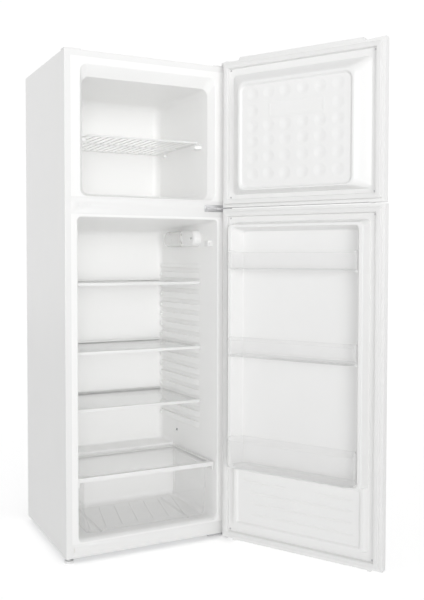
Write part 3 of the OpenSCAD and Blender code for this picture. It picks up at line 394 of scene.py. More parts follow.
def mesh_from(bm, name, matrix=None):
    """Object with a bmesh's faces turned outward, then moved by the matrix."""
    bmesh.ops.recalc_face_normals(bm, faces=bm.faces)
    if matrix is not None:
        bm.transform(matrix)
    mesh = bpy.data.meshes.new(name)
    bm.to_mesh(mesh)
    bm.free()
    return link(mesh, name)


def box_mesh(bm, lo, hi):
    """Adds an axis-aligned box to a bmesh."""
    centre = (Vector(lo) + Vector(hi)) / 2
    size = Vector(hi) - Vector(lo)
    matrix = Matrix.Translation(centre) @ Matrix.Diagonal((*size, 1))
    return bmesh.ops.create_cube(bm, size=1, matrix=matrix)["verts"]


def round_bar(radius, length, centre, turned_about):
    """New bmesh with one upright bar that is turned a quarter about an axis."""
    bm = bmesh.new()
    bmesh.ops.create_cone(bm, cap_ends=True, segments=24, radius1=radius, radius2=radius,
                          depth=length, matrix=Matrix.Translation(centre)
                          @ Matrix.Rotation(math.pi / 2, 4, turned_about))
    return bm


def join(objects, name):
    """Joins meshes into one object that keeps the first one's place."""
    bpy.ops.object.select_all(action="DESELECT")
    for obj in objects:
        obj.select_set(True)
    bpy.context.view_layer.objects.active = objects[0]
    bpy.ops.object.join()
    objects[0].name = name
    return objects[0]


# ---- Geometry Nodes: rows of equal bars and small parts ----


def row_tree(name, piece_type, piece_sockets, piece_output):
    """Tree that sets copies of a piece in a row and gives them a material.

    piece_sockets pairs each input of the piece's node with its kind and the node's own socket.
    """
    if name in bpy.data.node_groups:
        return bpy.data.node_groups[name]
    tree = bpy.data.node_groups.new(name, "GeometryNodeTree")
    n, join_up = tree.nodes, tree.links.new
    given = n.new("NodeGroupInput")
    out = n.new("NodeGroupOutput")
    line = n.new("GeometryNodeMeshLine")
    line.mode = "OFFSET"
    piece = n.new(piece_type)
    spread = n.new("GeometryNodeInstanceOnPoints")
    real = n.new("GeometryNodeRealizeInstances")
    coat = n.new("GeometryNodeSetMaterial")
    inputs = [("Count", "Int", line.inputs["Count"]),
              ("Start", "Vector", line.inputs["Start Location"]),
              ("Step", "Vector", line.inputs["Offset"]),
              ("Turn", "Vector", spread.inputs["Rotation"]),
              ("Material", "Material", coat.inputs["Material"])]
    inputs += [(label, kind, piece.inputs[own]) for label, kind, own in piece_sockets]
    for label, kind, _ in inputs:
        tree.interface.new_socket(label, in_out="INPUT", socket_type="NodeSocket" + kind)
    tree.interface.new_socket("Geometry", in_out="OUTPUT", socket_type="NodeSocketGeometry")
    for label, _, target in inputs:
        join_up(given.outputs[label], target)
    join_up(line.outputs["Mesh"], spread.inputs["Points"])
    join_up(piece.outputs[piece_output], spread.inputs["Instance"])
    join_up(spread.outputs["Instances"], real.inputs["Geometry"])
    join_up(real.outputs["Geometry"], coat.inputs["Geometry"])
    join_up(coat.outputs["Geometry"], out.inputs["Geometry"])
    return tree


def run_tree(tree, name, **values):
    """Runs a tree on an empty mesh, bakes the result to plain mesh and drops the modifier."""
    obj = link(bpy.data.meshes.new(name), name)
    modifier = obj.modifiers.new("Repeat", "NODES")
    modifier.node_group = tree
    sockets = {s.name: s.identifier for s in tree.interface.items_tree if s.in_out == "INPUT"}
    for label, value in values.items():
        modifier[sockets[label]] = value
    return apply_modifiers(obj)


def bar_row(name, count, start, step, turn, length, radius, finish):
    """Row of equal round bars, each turned from upright."""
    tree = row_tree("Bar row", "GeometryNodeMeshCylinder",
                    [("Length", "Float", "Depth"), ("Radius", "Float", "Radius"),
                     ("Sides", "Int", "Vertices")], "Mesh")
    return run_tree(tree, name, Count=count, Start=start, Step=step, Turn=turn, Length=length,
                    Radius=radius, Sides=14, Material=coat(finish))


def copy_row(name, piece, count, start, step, finish):
    """Row of copies as plain mesh; the piece that was copied is removed."""
    tree = row_tree("Copy row", "GeometryNodeObjectInfo", [("Piece", "Object", "Object")],
                    "Geometry")
    made = run_tree(tree, name, Piece=piece, Count=count, Start=start, Step=step,
                    Material=coat(finish))
    bpy.data.objects.remove(piece)
    return made


def carve(obj, cutters, use_self=False):
    """Cuts pieces out of another one; the cutters are removed."""
    for cutter in cutters:
        modify(obj, "BOOLEAN", object=cutter, operation="DIFFERENCE", solver="EXACT",
               use_self=use_self)
    apply_modifiers(obj)
    for cutter in cutters:
        bpy.data.objects.remove(cutter)
    return obj


def rounded_box(name, lo, hi, width, segments=3):
    """Box with rounded edges, as plain mesh."""
    bm = bmesh.new()
    box_mesh(bm, lo, hi)
    return apply_modifiers(bevel(mesh_from(bm, name), width, segments))


def fitting(name, lo, hi, width, place, finish):
    """Small rounded block on the right inner wall that stands for no CAD node."""
    block = rounded_box(name, lo, hi, width)
    block.data.transform(place)
    finish_piece(block, "cabinet", None, finish)


def mirrored(obj, name):
    """Copy of an object mirrored across x = 0."""
    mesh = obj.data.copy()
    mesh.transform(Matrix.Diagonal((-1, 1, 1, 1)))
    mesh.flip_normals()
    return link(mesh, name)


def plan_ring(half, y0, y1, radius, z):
    """Points of a rounded rectangle seen from above."""
    return [Vector((p.x, p.z, z)) for p in rounded_ring(half, y0, y1, radius, 0)]


# ---- Cabinet sizes, in metres ----

FLANGE_HALF = HALF_W - RETURN
RAIL_TOP = high("centre_rail").z
RAIL_LOW = low("centre_rail").z
BOTTOM_RAIL_TOP = high("bottom_rail").z

# Freezer: its mouth is (half width, bottom, top), and flares in to a lip of the same kind
FZ_MOUTH = (HALF_W - 48 * MM, RAIL_TOP + 2 * MM, CAB_TOP - 40 * MM)
FZ_FLARE = 30 * MM
FZ_LIP = (FZ_MOUTH[0] - 15 * MM, FZ_MOUTH[1] + 8 * MM, FZ_MOUTH[2] - 31 * MM)
FZ_BACK = CAB_DEPTH - 70 * MM
FZ_DRAFT = 18 * MM
FZ_BACK_HALF = FZ_LIP[0] - FZ_DRAFT
FZ_CORNER = 22 * MM
FZ_COVE = 24 * MM
LUG_Z = (1284.5 * MM, 1296.4 * MM)
LUG_LONG = 30 * MM

# Fridge: sill, floor and the step over the compressor bay
FR_HALF = HALF_W - 39.5 * MM
FR_LOW = BOTTOM_RAIL_TOP + 6 * MM
FR_HIGH = RAIL_LOW - 8.5 * MM
FR_BACK = CAB_DEPTH - 49 * MM
FR_SLOPE = 20.5 * MM / FR_BACK
FR_LIP = 12 * MM
FR_FLOOR = FR_LOW + 5 * MM
FR_CORNER = 12 * MM
FR_COVE = 18 * MM
STEP_Y = 318 * MM
STEP_Z = 255 * MM
STEP_COVE = 15 * MM
STEP_NOSE = 6 * MM
TROUGH_Z = 250 * MM

# Shelf ribs on the side walls, the ledge that the drawer's cover rests on, and the small plug
SLOT_Z0 = 364.7 * MM
SLOT_PITCH = 36.5 * MM
RIB_COUNT = 15
RIB_HIGH = 22.5 * MM
RIB_OUT = 8.5 * MM
RIB_Y = (121 * MM, FR_BACK - 11 * MM)
RIB_TAPER = 26 * MM
LEDGE_Y = 62 * MM
PLUG_AT = (285 * MM, 308 * MM)


def wall_x(y):
    """Half the clear width of the fridge compartment at depth y."""
    return FR_HALF - FR_SLOPE * y


def on_wall(y, z):
    """Matrix of a place on the right inner wall; its -x points into the compartment."""
    return Matrix.Translation((wall_x(y), y, z)) @ Matrix.Rotation(math.atan(FR_SLOPE), 4, "Z")


def wrapper_mesh():
    """Folded sheet of the two sides and the top, with its front and rear returns."""
    bm = bmesh.new()
    cache = {}

    def vert(x, y, z):
        key = (round(x, 6), round(y, 6), round(z, 6))
        if key not in cache:
            cache[key] = bm.verts.new(key)
        return cache[key]

    x0, x1, zt, zb, d = -HALF_W, HALF_W, CAB_TOP, CAB_BOTTOM, CAB_DEPTH

    def quad(*points):
        bm.faces.new([vert(*p) for p in points])

    quad((x0, 0, zb), (x0, d, zb), (x0, d, zt), (x0, 0, zt))
    quad((x1, 0, zb), (x1, 0, zt), (x1, d, zt), (x1, d, zb))
    quad((x0, 0, zt), (x0, d, zt), (x1, d, zt), (x1, 0, zt))
    for y, w in ((0, RETURN), (d, REAR_RETURN)):
        quad((x0, y, zb), (x0, y, zt), (x0 + w, y, zt - w), (x0 + w, y, zb))
        quad((x1, y, zb), (x1 - w, y, zb), (x1 - w, y, zt - w), (x1, y, zt))
        quad((x0, y, zt), (x1, y, zt), (x1 - w, y, zt - w), (x0 + w, y, zt - w))
    return mesh_from(bm, "outer_wrapper_finish")


def freezer_rings():
    """Rings of the freezer's lining from the flange through the flared mouth to the back."""
    half, z0, z1 = FZ_MOUTH
    lip, low_z, high_z = FZ_LIP
    rings = [rounded_ring(FLANGE_HALF, RAIL_TOP, CAB_TOP - RETURN, 0.4 * MM, 0)]
    for grow, y in ((1.6, 0), (0.9, 0.2), (0.4, 0.6), (0.1, 1.2), (0, 2), (0, 5), (0, 25),
                    (0, 27.5), (0, 29), (0, 30)):
        g, t = grow * MM, y * MM / FZ_FLARE
        rings.append(rounded_ring(half + g + (lip - half) * t, z0 - g + (low_z - z0) * t,
                                  z1 + g + (high_z - z1) * t, FZ_CORNER + g, y * MM))

    def wall(y):
        return lip - FZ_DRAFT * (y - FZ_FLARE) / (FZ_BACK - FZ_FLARE)

    behind = FZ_FLARE + 12 * MM
    rings.append(rounded_ring(wall(behind), low_z, high_z, FZ_CORNER, behind))
    for y, inset in cove(FZ_BACK, FZ_COVE):
        rings.append(rounded_ring(wall(y) - inset, low_z + inset, high_z - inset,
                                  max(FZ_CORNER - inset * 0.6, 4 * MM), y))
    return rings


def cove(back, radius, steps=8):
    """(depth, inset) along the rounded edge between a compartment's walls and its back."""
    for k in range(steps + 1):
        a = math.radians(90 * k / steps)
        yield back - radius + radius * math.sin(a), radius - radius * math.cos(a)


def fridge_floor_line():
    """(depth, height) of the floor from front to back: sill, step with rounded edges, trough."""
    line = [(6 * MM, FR_FLOOR - 2 * MM), (FR_LIP, FR_FLOOR), (FR_LIP + 4 * MM, FR_FLOOR)]
    quarter = [math.radians(15 * k) for k in range(7)]
    line += [(STEP_Y - STEP_COVE * (1 - math.sin(a)), FR_FLOOR + STEP_COVE * (1 - math.cos(a)))
             for a in quarter]
    line += [(STEP_Y, 130 * MM), (STEP_Y, 200 * MM)]
    line += [(STEP_Y + STEP_NOSE * (1 - math.cos(a)), STEP_Z - STEP_NOSE * (1 - math.sin(a)))
             for a in quarter]
    line += [(345 * MM, STEP_Z), (386 * MM, STEP_Z), (389.5 * MM, STEP_Z - 1 * MM)]
    return line + [(392.5 * MM, TROUGH_Z + 0.8 * MM), (396 * MM, TROUGH_Z), (398 * MM, TROUGH_Z)]


def fridge_rings():
    """Rings of the fridge's lining, whose lower side follows the floor line."""
    rings = [rounded_ring(FLANGE_HALF, BOTTOM_RAIL_TOP, RAIL_LOW, 0.4 * MM, 0)]
    for grow, y in ((4, 0), (2.4, 0.3), (1.1, 1.0), (0.3, 2.1), (0, 3.4)):
        g = grow * MM
        rings.append(rounded_ring(FR_HALF + g, FR_LOW - g, FR_HIGH + g, FR_CORNER + g, y * MM))

    def ceiling(y):
        return FR_HIGH - 1 * MM - 27 * MM * max(y - FR_LIP, 0) / (FR_BACK - FR_LIP)

    for y, z in fridge_floor_line():
        rings.append(rounded_ring(wall_x(y), z, ceiling(y), FR_CORNER, y))
    for y, inset in cove(FR_BACK, FR_COVE):
        rings.append(rounded_ring(wall_x(y) - inset, TROUGH_Z + inset * 0.4, ceiling(y) - inset,
                                  max(FR_CORNER - inset * 0.3, 4 * MM), y))
    return rings


def lofted(name, rings):
    """Closed-back shell through a row of rings."""
    bm = bmesh.new()
    rows = ring_faces(bm, rings)
    bm.faces.new(rows[-1])
    bmesh.ops.remove_doubles(bm, verts=bm.verts, dist=0.002 * MM)
    bmesh.ops.dissolve_degenerate(bm, dist=0.002 * MM, edges=bm.edges)
    return mesh_from(bm, name)


def weigh_normals(obj):
    """Shades flat faces flat and their rounded edges smooth."""
    return apply_modifiers(modify(obj, "WEIGHTED_NORMAL", keep_sharp=True, weight=90))


class FRIDGE_OT_cabinet_shell(bpy.types.Operator):
    """Folds the cabinet's outer sheet and its painted rails"""
    bl_idname = "fridge.cabinet_shell"
    bl_label = "Cabinet shell"

    def execute(self, context):
        shell = wrapper_mesh()
        bevel(shell, FOLD, 3, 60)
        apply_modifiers(modify(shell, "SOLIDIFY", thickness=SHEET, offset=-1))
        finish_piece(shell, "cabinet", "outer_wrapper", "white_enamel")
        weigh_normals(shell)
        soften_all("cabinet", ("bottom_rail", "white_enamel", 0.7),
                   ("centre_rail", "white_enamel", 0.7), ("corner_cap", "white_moulding", 1),
                   ("rail_plugs", "white_moulding", 0.4), ("back_panel", "galvanised_sheet", 0),
                   ("base_plate", "galvanised_sheet", 0), ("wall_spacers", "white_moulding", 1.5))
        paint(frame["nodes"]["cabinet_foam"], "wall_foam")
        return {"FINISHED"}


class FRIDGE_OT_freezer_lining(bpy.types.Operator):
    """Lofts the freezer's moulded lining with the lugs of its wire shelf"""
    bl_idname = "fridge.freezer_lining"
    bl_label = "Freezer lining"

    def execute(self, context):
        shell = lofted("freezer_liner_finish", freezer_rings())
        lugs = []
        for side in (-1, 1):
            for y in (70 * MM, FZ_BACK - 70 * MM):
                a, b = sorted((side * (FZ_BACK_HALF - 8 * MM), side * (FZ_LIP[0] + 1 * MM)))
                lugs.append(rounded_box("lug", (a, y, LUG_Z[0]), (b, y + LUG_LONG, LUG_Z[1]),
                                        3 * MM))
        shell = join([shell] + lugs, "freezer_liner_finish")
        finish_piece(shell, "cabinet", "freezer_liner", "white_lining")
        weigh_normals(shell)
        return {"FINISHED"}


class FRIDGE_OT_fridge_lining(bpy.types.Operator):
    """Lofts the fridge's moulded lining with its shelf ribs, ledges and plugs"""
    bl_idname = "fridge.fridge_lining"
    bl_label = "Fridge lining"

    def execute(self, context):
        shell = lofted("fridge_liner_finish", fridge_rings())
        length = (RIB_Y[1] - RIB_Y[0]) / math.cos(math.atan(FR_SLOPE))
        place = on_wall(RIB_Y[0], 0)
        right = [self.row_of("ribs", self.rib(length, -RIB_HIGH, 0, place))]
        above = SLOT_Z0 + RIB_COUNT * SLOT_PITCH - RIB_HIGH
        right.append(self.rib(length, 0, 14 * MM, place @ Matrix.Translation((0, 0, above))))
        knob = rounded_box("knob", (-13 * MM, length - 13 * MM, -16 * MM),
                           (-2 * MM, length - 1 * MM, -6 * MM), 4 * MM, 4)
        knob.data.transform(place)
        right.append(self.row_of("knobs", knob))
        ledge = rounded_box("ledge", (-9 * MM, 0, 230 * MM), (1 * MM, 215 * MM, 237.9 * MM),
                            2 * MM)
        ledge.data.transform(on_wall(LEDGE_Y, 0))
        right = join(right + [ledge], "right_ribs")
        left = mirrored(right, "left_ribs")
        shell = join([shell, right, left], "fridge_liner_finish")
        finish_piece(shell, "cabinet", "fridge_liner", "white_lining")
        weigh_normals(shell)
        self.plug()
        return {"FINISHED"}

    def rib(self, length, bottom, top, place):
        """Rounded rib between two heights, its front end drawn out into a gentle slope."""
        made = rounded_box("rib", (-RIB_OUT, 0, bottom), (1 * MM, length, top), 3.2 * MM, 4)
        for v in made.data.vertices:
            if v.co.y < 3.1 * MM:
                v.co.x = max(v.co.x * 0.1, -0.6 * MM)
            elif v.co.y < 4 * MM:
                v.co.y += RIB_TAPER
        made.data.transform(place)
        return made

    def row_of(self, name, piece):
        """Copies of a piece, one for each shelf slot."""
        return copy_row(name, piece, RIB_COUNT, (0, 0, SLOT_Z0), (0, 0, SLOT_PITCH),
                        "white_lining")

    def plug(self):
        """Small plug with a pin, low on the right wall."""
        place = on_wall(*PLUG_AT)
        fitting("wall_plug", (-2.5 * MM, -5 * MM, -4 * MM), (0.5 * MM, 5 * MM, 4 * MM),
                1.2 * MM, place, "grey_moulding")
        fitting("wall_plug_pin", (-3.4 * MM, -1.6 * MM, -1.6 * MM), (0, 1.6 * MM, 1.6 * MM),
                0.6 * MM, place, "black_rubber")


# ---- Lamp, thermostat and switch ----

LAMP_Y = 110 * MM
LAMP_LONG = 239 * MM
LAMP_R = 27 * MM
LAMP_FRONT = 102 * MM  # length of the housing; the lens goes on from there
LAMP_Z = FR_HIGH - 57.5 * MM
LAMP_SEAM = 0.2 * MM
LENS_WALL = 1.6 * MM
WHEEL_R = 14.4 * MM
WHEEL_TEETH = 24
WHEEL_AT = (-15.5 * MM, 94 * MM, 0)


def stadium_ring(inset, out, rear):
    """Outline of one half of the lamp at a height above the wall: a half circle and its flat end.

    The half is the housing, or with rear the lens behind it.
    """
    r = LAMP_R - inset
    length = LAMP_LONG - LAMP_FRONT if rear else LAMP_FRONT
    points = []
    for k in range(17):
        a = math.radians(90 + 180 * k / 16)
        points.append((LAMP_R + r * math.cos(a), r * math.sin(a)))
    points += [(length - LAMP_SEAM, z) for z in (-r, 0, r)]
    if rear:
        points = [(LAMP_LONG - along, z) for along, z in points]
    return [Vector((-out, along, z)) for along, z in points]


def dome(name, profile, rear):
    """Half of the lamp's shell, open towards the wall."""
    return capped(name, [stadium_ring(i, out, rear) for i, out in profile], (-1,))


def lamp_profile(height, crown):
    """(inset, height) of the housing's side, its rounded shoulder and its crown."""
    line = [(0, 0.06 * MM), (0.6 * MM, height - crown)]
    for k in range(1, 7):
        a = math.radians(15 * k)
        line.append((0.6 * MM + crown * (1 - math.cos(a)), height - crown + crown * math.sin(a)))
    return line


class FRIDGE_OT_lamp(bpy.types.Operator):
    """Shapes the lamp housing, its clear cover, the bulb, the thumbwheel and the door switch"""
    bl_idname = "fridge.lamp"
    bl_label = "Lamp and thermostat"

    def execute(self, context):
        place = on_wall(LAMP_Y, LAMP_Z)
        housing = dome("lamp_housing_finish", lamp_profile(26 * MM, 9 * MM), False)
        bm = bmesh.new()
        box_mesh(bm, (-40 * MM, 88 * MM, -17 * MM), (-12 * MM, 99.5 * MM, 17 * MM))
        wheel_slot = mesh_from(bm, "cutter")
        screw_bore = mesh_from(round_bar(4.5 * MM, 10 * MM, (-26 * MM, 25 * MM, 0), "Y"), "cutter")
        carve(housing, (wheel_slot, screw_bore))
        housing.data.transform(place)
        finish_piece(housing, "cabinet", "lamp_housing", "white_moulding")
        weigh_normals(housing)
        fitting("lamp_screw", (-22.5 * MM, 21.5 * MM, -3.5 * MM),
                (-20 * MM, 28.5 * MM, 3.5 * MM), 1.2 * MM, place, "dark_bracket")
        lens = dome("lamp_lens_finish", lamp_profile(24 * MM, 8 * MM), True)
        apply_modifiers(modify(lens, "SOLIDIFY", thickness=LENS_WALL, offset=-1))
        lens.data.transform(place)
        finish_piece(lens, "cabinet", "lamp_lens", "frosted_lens")
        softened("lamp_bulb", "frosted_lens", 0, "cabinet")
        self.wheel(place)
        softened("door_switch_body", "white_moulding", 1.2 * MM, "cabinet")
        softened("door_switch_plunger", "white_moulding", 0.8 * MM, "door_switch_plunger")
        return {"FINISHED"}

    def wheel(self, place):
        """Knurled thumbwheel on its spindle."""
        spindle = round_bar(2.4 * MM, 17 * MM, (0, -0.5 * MM, 0), "X")
        count = 4 * WHEEL_TEETH
        rings = []
        for along, drop in ((-4.5, 1.2), (-3.7, 0), (3.7, 0), (4.5, 1.2)):
            ring = []
            for k in range(count):
                a = 2 * math.pi * k / count
                r = WHEEL_R - (drop + (0.7 if k % 4 < 2 else 0)) * MM
                ring.append(Vector((r * math.cos(a), along * MM, r * math.sin(a))))
            rings.append(ring)
        wheel = capped("thermostat_knob_finish", rings, bm=spindle)
        wheel.data.transform(place @ Matrix.Translation(WHEEL_AT))
        finish_piece(wheel, "thermostat_knob", "thermostat_knob", "white_moulding", 30)


# ---- Shelves and drawer ----

WIRE_SHELF_Z = 1300 * MM
DRAWER_WALL = 2.4  # in millimetres, as the drawer's outline is
RUNNER_X = 150 * MM
FLOOR_RIB_PITCH = 54 * MM
FLOOR_RIB_HALF = 92 * MM
FLOOR_RIB_SLANT = math.radians(-12)


def polyline(name, points, radius, resolution=5):
    """Round bar along points, as plain mesh."""
    curve = bpy.data.curves.new(name, "CURVE")
    curve.dimensions = "3D"
    curve.bevel_depth = radius
    curve.bevel_resolution = resolution
    curve.use_fill_caps = True
    spline = curve.splines.new("POLY")
    spline.points.add(len(points) - 1)
    for point, co in zip(spline.points, points):
        point.co = (*co, 1)
    obj = link(curve, name)
    graph = bpy.context.evaluated_depsgraph_get()
    mesh = bpy.data.meshes.new_from_object(obj.evaluated_get(graph))
    bpy.data.objects.remove(obj)
    return link(mesh, name)


def bent(points, radius, steps=6):
    """Points of a path whose corners are rounded to a radius."""
    path = [Vector(points[0])]
    for a, b, c in zip(points, points[1:], points[2:]):
        a, b, c = Vector(a), Vector(b), Vector(c)
        u, v = (a - b).normalized(), (c - b).normalized()
        for k in range(steps + 1):
            t = k / steps
            path.append((b + u * radius) * (1 - t) ** 2 + b * 2 * t * (1 - t)
                        + (b + v * radius) * t ** 2)
    path.append(Vector(points[-1]))
    return path


class FRIDGE_OT_wire_shelf(bpy.types.Operator):
    """Bends the freezer's wire shelf: a rounded frame, cross bars and a row of thin wires"""
    bl_idname = "fridge.wire_shelf"
    bl_label = "Wire shelf"

    def execute(self, context):
        lo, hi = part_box("wire_shelf")
        half, rear, z = hi.x, hi.y - 3 * MM, WIRE_SHELF_Z
        front = lo.y + 3.5 * MM
        rail = bent([(-half + 6 * MM, rear, z), (-half + 3 * MM, front, z),
                     (half - 3 * MM, front, z), (half - 6 * MM, rear, z)], 16 * MM)
        pieces = [polyline("rail", rail, 3.2 * MM)]
        for y in (rear, (lo.y + hi.y) / 2):
            ends = [(side * (half - 5 * MM), y, z - 0.5 * MM) for side in (-1, 1)]
            pieces.append(polyline("bar", ends, 2.2 * MM))
        count = context.scene.fridge_detail.wire_count
        inner = half - 9 * MM
        wires = bar_row("wires", count, (-inner, (front + hi.y) / 2, z + 1.5 * MM),
                        (2 * inner / (count - 1), 0, 0), (math.pi / 2, 0, 0),
                        hi.y - front - 2 * MM, 1.5 * MM, "wire_coating")
        shelf = join(pieces + [wires], "wire_shelf_finish")
        finish_piece(shelf, "wire_shelf", "wire_shelf", "wire_coating")
        return {"FINISHED"}


class FRIDGE_OT_glass_shelves(bpy.types.Operator):
    """Polishes the three glass shelves and rounds their trims"""
    bl_idname = "fridge.glass_shelves"
    bl_label = "Glass shelves"

    def execute(self, context):
        for place in ("bottom", "middle", "top"):
            body = "shelf_" + place
            softened("shelf_glass_" + place, "pane_glass", 0.6 * MM, body, 2)
            softened("shelf_trims_" + place, "white_moulding", 1.6 * MM, body, 3)
        return {"FINISHED"}


class FRIDGE_OT_crisper(bpy.types.Operator):
    """Moulds the clear drawer and its glass cover"""
    bl_idname = "fridge.crisper"
    bl_label = "Crisper"

    def execute(self, context):
        softened("crisper_cover_frame", "white_moulding", 1.5 * MM, "cabinet", 3, open_frame=True)
        softened("crisper_cover_glass", "pane_glass", 0.5 * MM, "cabinet", 2)
        lo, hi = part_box("crisper_drawer")
        floor = lo.z + 6.2 * MM
        scale = (hi.z - floor) / 159.8

        def ring(inset, z, radius):
            i = inset * MM
            return plan_ring(hi.x - i, lo.y + i, hi.y - i, radius * MM, floor + z * scale)

        # (inset, height) in millimetres up the outside, over the rim and down the inside
        outer = [(16, 0), (12, 1.2), (10.2, 4), (6, 12), (4.6, 60), (4, 88.8), (3.6, 89.8),
                 (2.2, 90.6), (2, 91.5), (0.8, 150), (0.2, 157), (0, 158.2), (0.3, 159.4)]
        inner = [(i + DRAWER_WALL, max(z, DRAWER_WALL + 1)) for i, z in reversed(outer[2:11])]
        rings = [ring(i, z, 16 - i * 0.35) for i, z in outer]
        rings += [ring(i, z, 15 - i * 0.35) for i, z in [(1.2, 159.8), (2.2, 159.4)] + inner]
        rings.append(plan_ring(hi.x - 19 * MM, lo.y + 19 * MM, hi.y - 19 * MM, 8 * MM,
                               floor + DRAWER_WALL * MM))
        parts = [capped("crisper_drawer_finish", rings)]
        for x in (-RUNNER_X, RUNNER_X):
            parts.append(rounded_box("runner", (x - 2 * MM, lo.y + 20 * MM, lo.z),
                                     (x + 2 * MM, hi.y - 20 * MM, floor - 0.05 * MM), 0.8 * MM))
        count = context.scene.fridge_detail.drawer_ribs
        slant = Matrix.Rotation(FLOOR_RIB_SLANT, 4, "Z")
        for k in range(count):
            middle = ((k - (count - 1) / 2) * FLOOR_RIB_PITCH, (lo.y + hi.y) / 2,
                      floor + (DRAWER_WALL + 0.05) * MM)
            rib = rounded_box("floor_rib", (-1.2 * MM, -FLOOR_RIB_HALF, 0),
                              (1.2 * MM, FLOOR_RIB_HALF, 2 * MM), 0.8 * MM, 2)
            rib.data.transform(Matrix.Translation(middle) @ slant)
            parts.append(rib)
        drawer = join(parts, "crisper_drawer_finish")
        finish_piece(drawer, "crisper_drawer", "crisper_drawer", "drawer_moulding")
        return {"FINISHED"}


# ---- Doors: reliefs are in millimetres, outlines are (half width, bottom, top, corner) ----

PANEL_OUT = 37  # how far the freezer door's panel stands out
DYKE_OUT = 48  # how far the fridge door's dykes stand out
LOWER_OUT = 16  # how far the fridge door's lower box stands out
HOLLOW_OUT = 3  # how far the recess between the dykes stands out
DISH_DEEP = 6  # of the freezer door's dish
LOWER_DISH_DEEP = 5
PLATE_RISE = 1.3
GROOVE_DEEP = 1.8
GROOVE_HALF = 3.6
GROOVE_END = 6  # how far a groove's ends run out
NOTCH_X = (208.5, 211.4)
NOTCH_HALF = 4.2
NOTCH_OUT = 37
DIMPLE_X = (146, 89, 32, -28, -85, -143)
DIMPLE_Z = (1433, 1380, 1333, 1287, 1238, 1185)
PLATE_ROW = 1380  # the row whose inner dimples make way for the bare plate
PLATE = (91, 1356, 1402, 6)
PLATE_X = -6
NOTCH_Z = (585, 665, 729, 808)
# Each groove from one x to another, at a height above the door's lower end
GROOVES = ((41, 188, 199), (-181, -65, 199), (-182, 173, 165), (-179, 155, 131), (-185, 162, 96))
LOWER_RISE = (LOWER_OUT * MM - DOOR_GAP) / FR_LIP  # how far up the sill's slope its face shuts
LOWER_Z0 = (FR_LOW + (FR_FLOOR - FR_LOW) * LOWER_RISE) / MM + 1.5
LOWER_TOP = 244  # above the fridge door's lower end
SCREW_INSET = 31 * MM
BINS = {"door_bin_bottom": 86, "door_bin_middle": 52, "door_bin_top": 52}  # heights of their rims
BIN_HALF = 212 * MM
BIN_OUT = 90 * MM
BIN_CORNER = 25 * MM


def spaced(lo, hi, step, fine=()):
    """Increasing grid lines, closer within each fine span (from, to, step)."""
    lines = set()
    count = max(1, round((hi - lo) / step))
    for k in range(count + 1):
        lines.add(round(lo + (hi - lo) * k / count, 3))
    for a, b, close in fine:
        lines = {v for v in lines if not a < v < b}
        n = max(1, round((b - a) / close))
        lines |= {round(a + (b - a) * k / n, 3) for k in range(n + 1)}
    return sorted(v for v in lines if lo - 1e-6 <= v <= hi + 1e-6)


def mirror_spans(spans):
    """Fine spans on the right, and the same on the left."""
    return list(spans) + [(-b, -a, s) for a, b, s in spans]


def inside(x, z, half, z0, z1, r):
    """Distance inside (positive) a rounded rectangle that is centred on x = 0."""
    qx = abs(x) - half + r
    qz = abs(z - (z0 + z1) / 2) - (z1 - z0) / 2 + r
    return r - math.hypot(max(qx, 0), max(qz, 0)) - min(max(qx, qz), 0)


def ease(t, share=0.5):
    """Ramp from 0 to 1 with rounded ends; share is how much of it is rounded."""
    t = min(max(t, 0), 1)
    return t * (1 - share) + t * t * (3 - 2 * t) * share


def ramp(x, z, outer, inner, share=0.5):
    """0 outside the outer outline, 1 inside the inner one, the slope of their hull between."""
    if inside(x, z, *outer) <= 0:
        return 0.0
    if inside(x, z, *inner) >= 0:
        return 1.0
    a, b = 0.0, 1.0
    for _ in range(11):
        t = (a + b) / 2
        if inside(x, z, *[u + (v - u) * t for u, v in zip(outer, inner)]) > 0:
            a = t
        else:
            b = t
    return ease(a, share)


def relief(name, xs, zs, height, matrix):
    """Moulded panel: a grid raised by a height function, with a skirt round its border."""
    bm = bmesh.new()
    rows = []
    for z in zs:
        rows.append([bm.verts.new((x * MM, height(x, z) * MM - DOOR_GAP, z * MM)) for x in xs])
    for a, b in zip(rows, rows[1:]):
        for i in range(len(xs) - 1):
            bm.faces.new((a[i], b[i], b[i + 1], a[i + 1]))
    border = [e for e in bm.edges if e.is_boundary]
    made = bmesh.ops.extrude_edge_only(bm, edges=border)["geom"]
    for v in made:
        if isinstance(v, bmesh.types.BMVert):
            v.co.y = -DOOR_GAP - LINER_WALL
    bm.transform(matrix)
    mesh = bpy.data.meshes.new(name)
    bm.to_mesh(mesh)
    bm.free()
    return link(mesh, name)


class DoorSpan:
    """Heights and joint of one door."""

    def __init__(self, body, joint):
        self.body = body
        self.z0 = low(body + "_skin").z - DOOR_CAP
        self.z1 = high(body + "_skin").z + DOOR_CAP
        self.matrix = swing(joint)


def freezer_relief(span, depth, radius):
    """Height over the flange of the freezer door's dished panel."""
    z0, z1 = span.z0 / MM, span.z1 / MM
    foot, crown = (235, z0 + 39, z1 - 47, 12), (195, z0 + 49, z1 - 80, 25)
    dish_rim, dish_floor = (189.5, z0 + 51, z1 - 87, 24), (183, z0 + 57, z1 - 93, 18)
    dimples = [(x, z) for z in DIMPLE_Z for x in DIMPLE_X
               if z != PLATE_ROW or x in (DIMPLE_X[0], DIMPLE_X[-1])]
    reach, deep = radius / MM, depth / MM

    def height(x, z):
        dish = ramp(x, z, dish_rim, dish_floor, 0.8)
        p = PANEL_OUT * ramp(x, z, foot, crown, 0.25) - DISH_DEEP * dish
        if dish > 0.99:
            for cx, cz in dimples:
                d = math.hypot(x - cx, z - cz) / reach
                if d < 1:
                    p -= deep * (1 - d * d) ** 1.5
            p += PLATE_RISE * max(0, 1 - abs(inside(x - PLATE_X, z, *PLATE)) / 2)
        return p

    return height


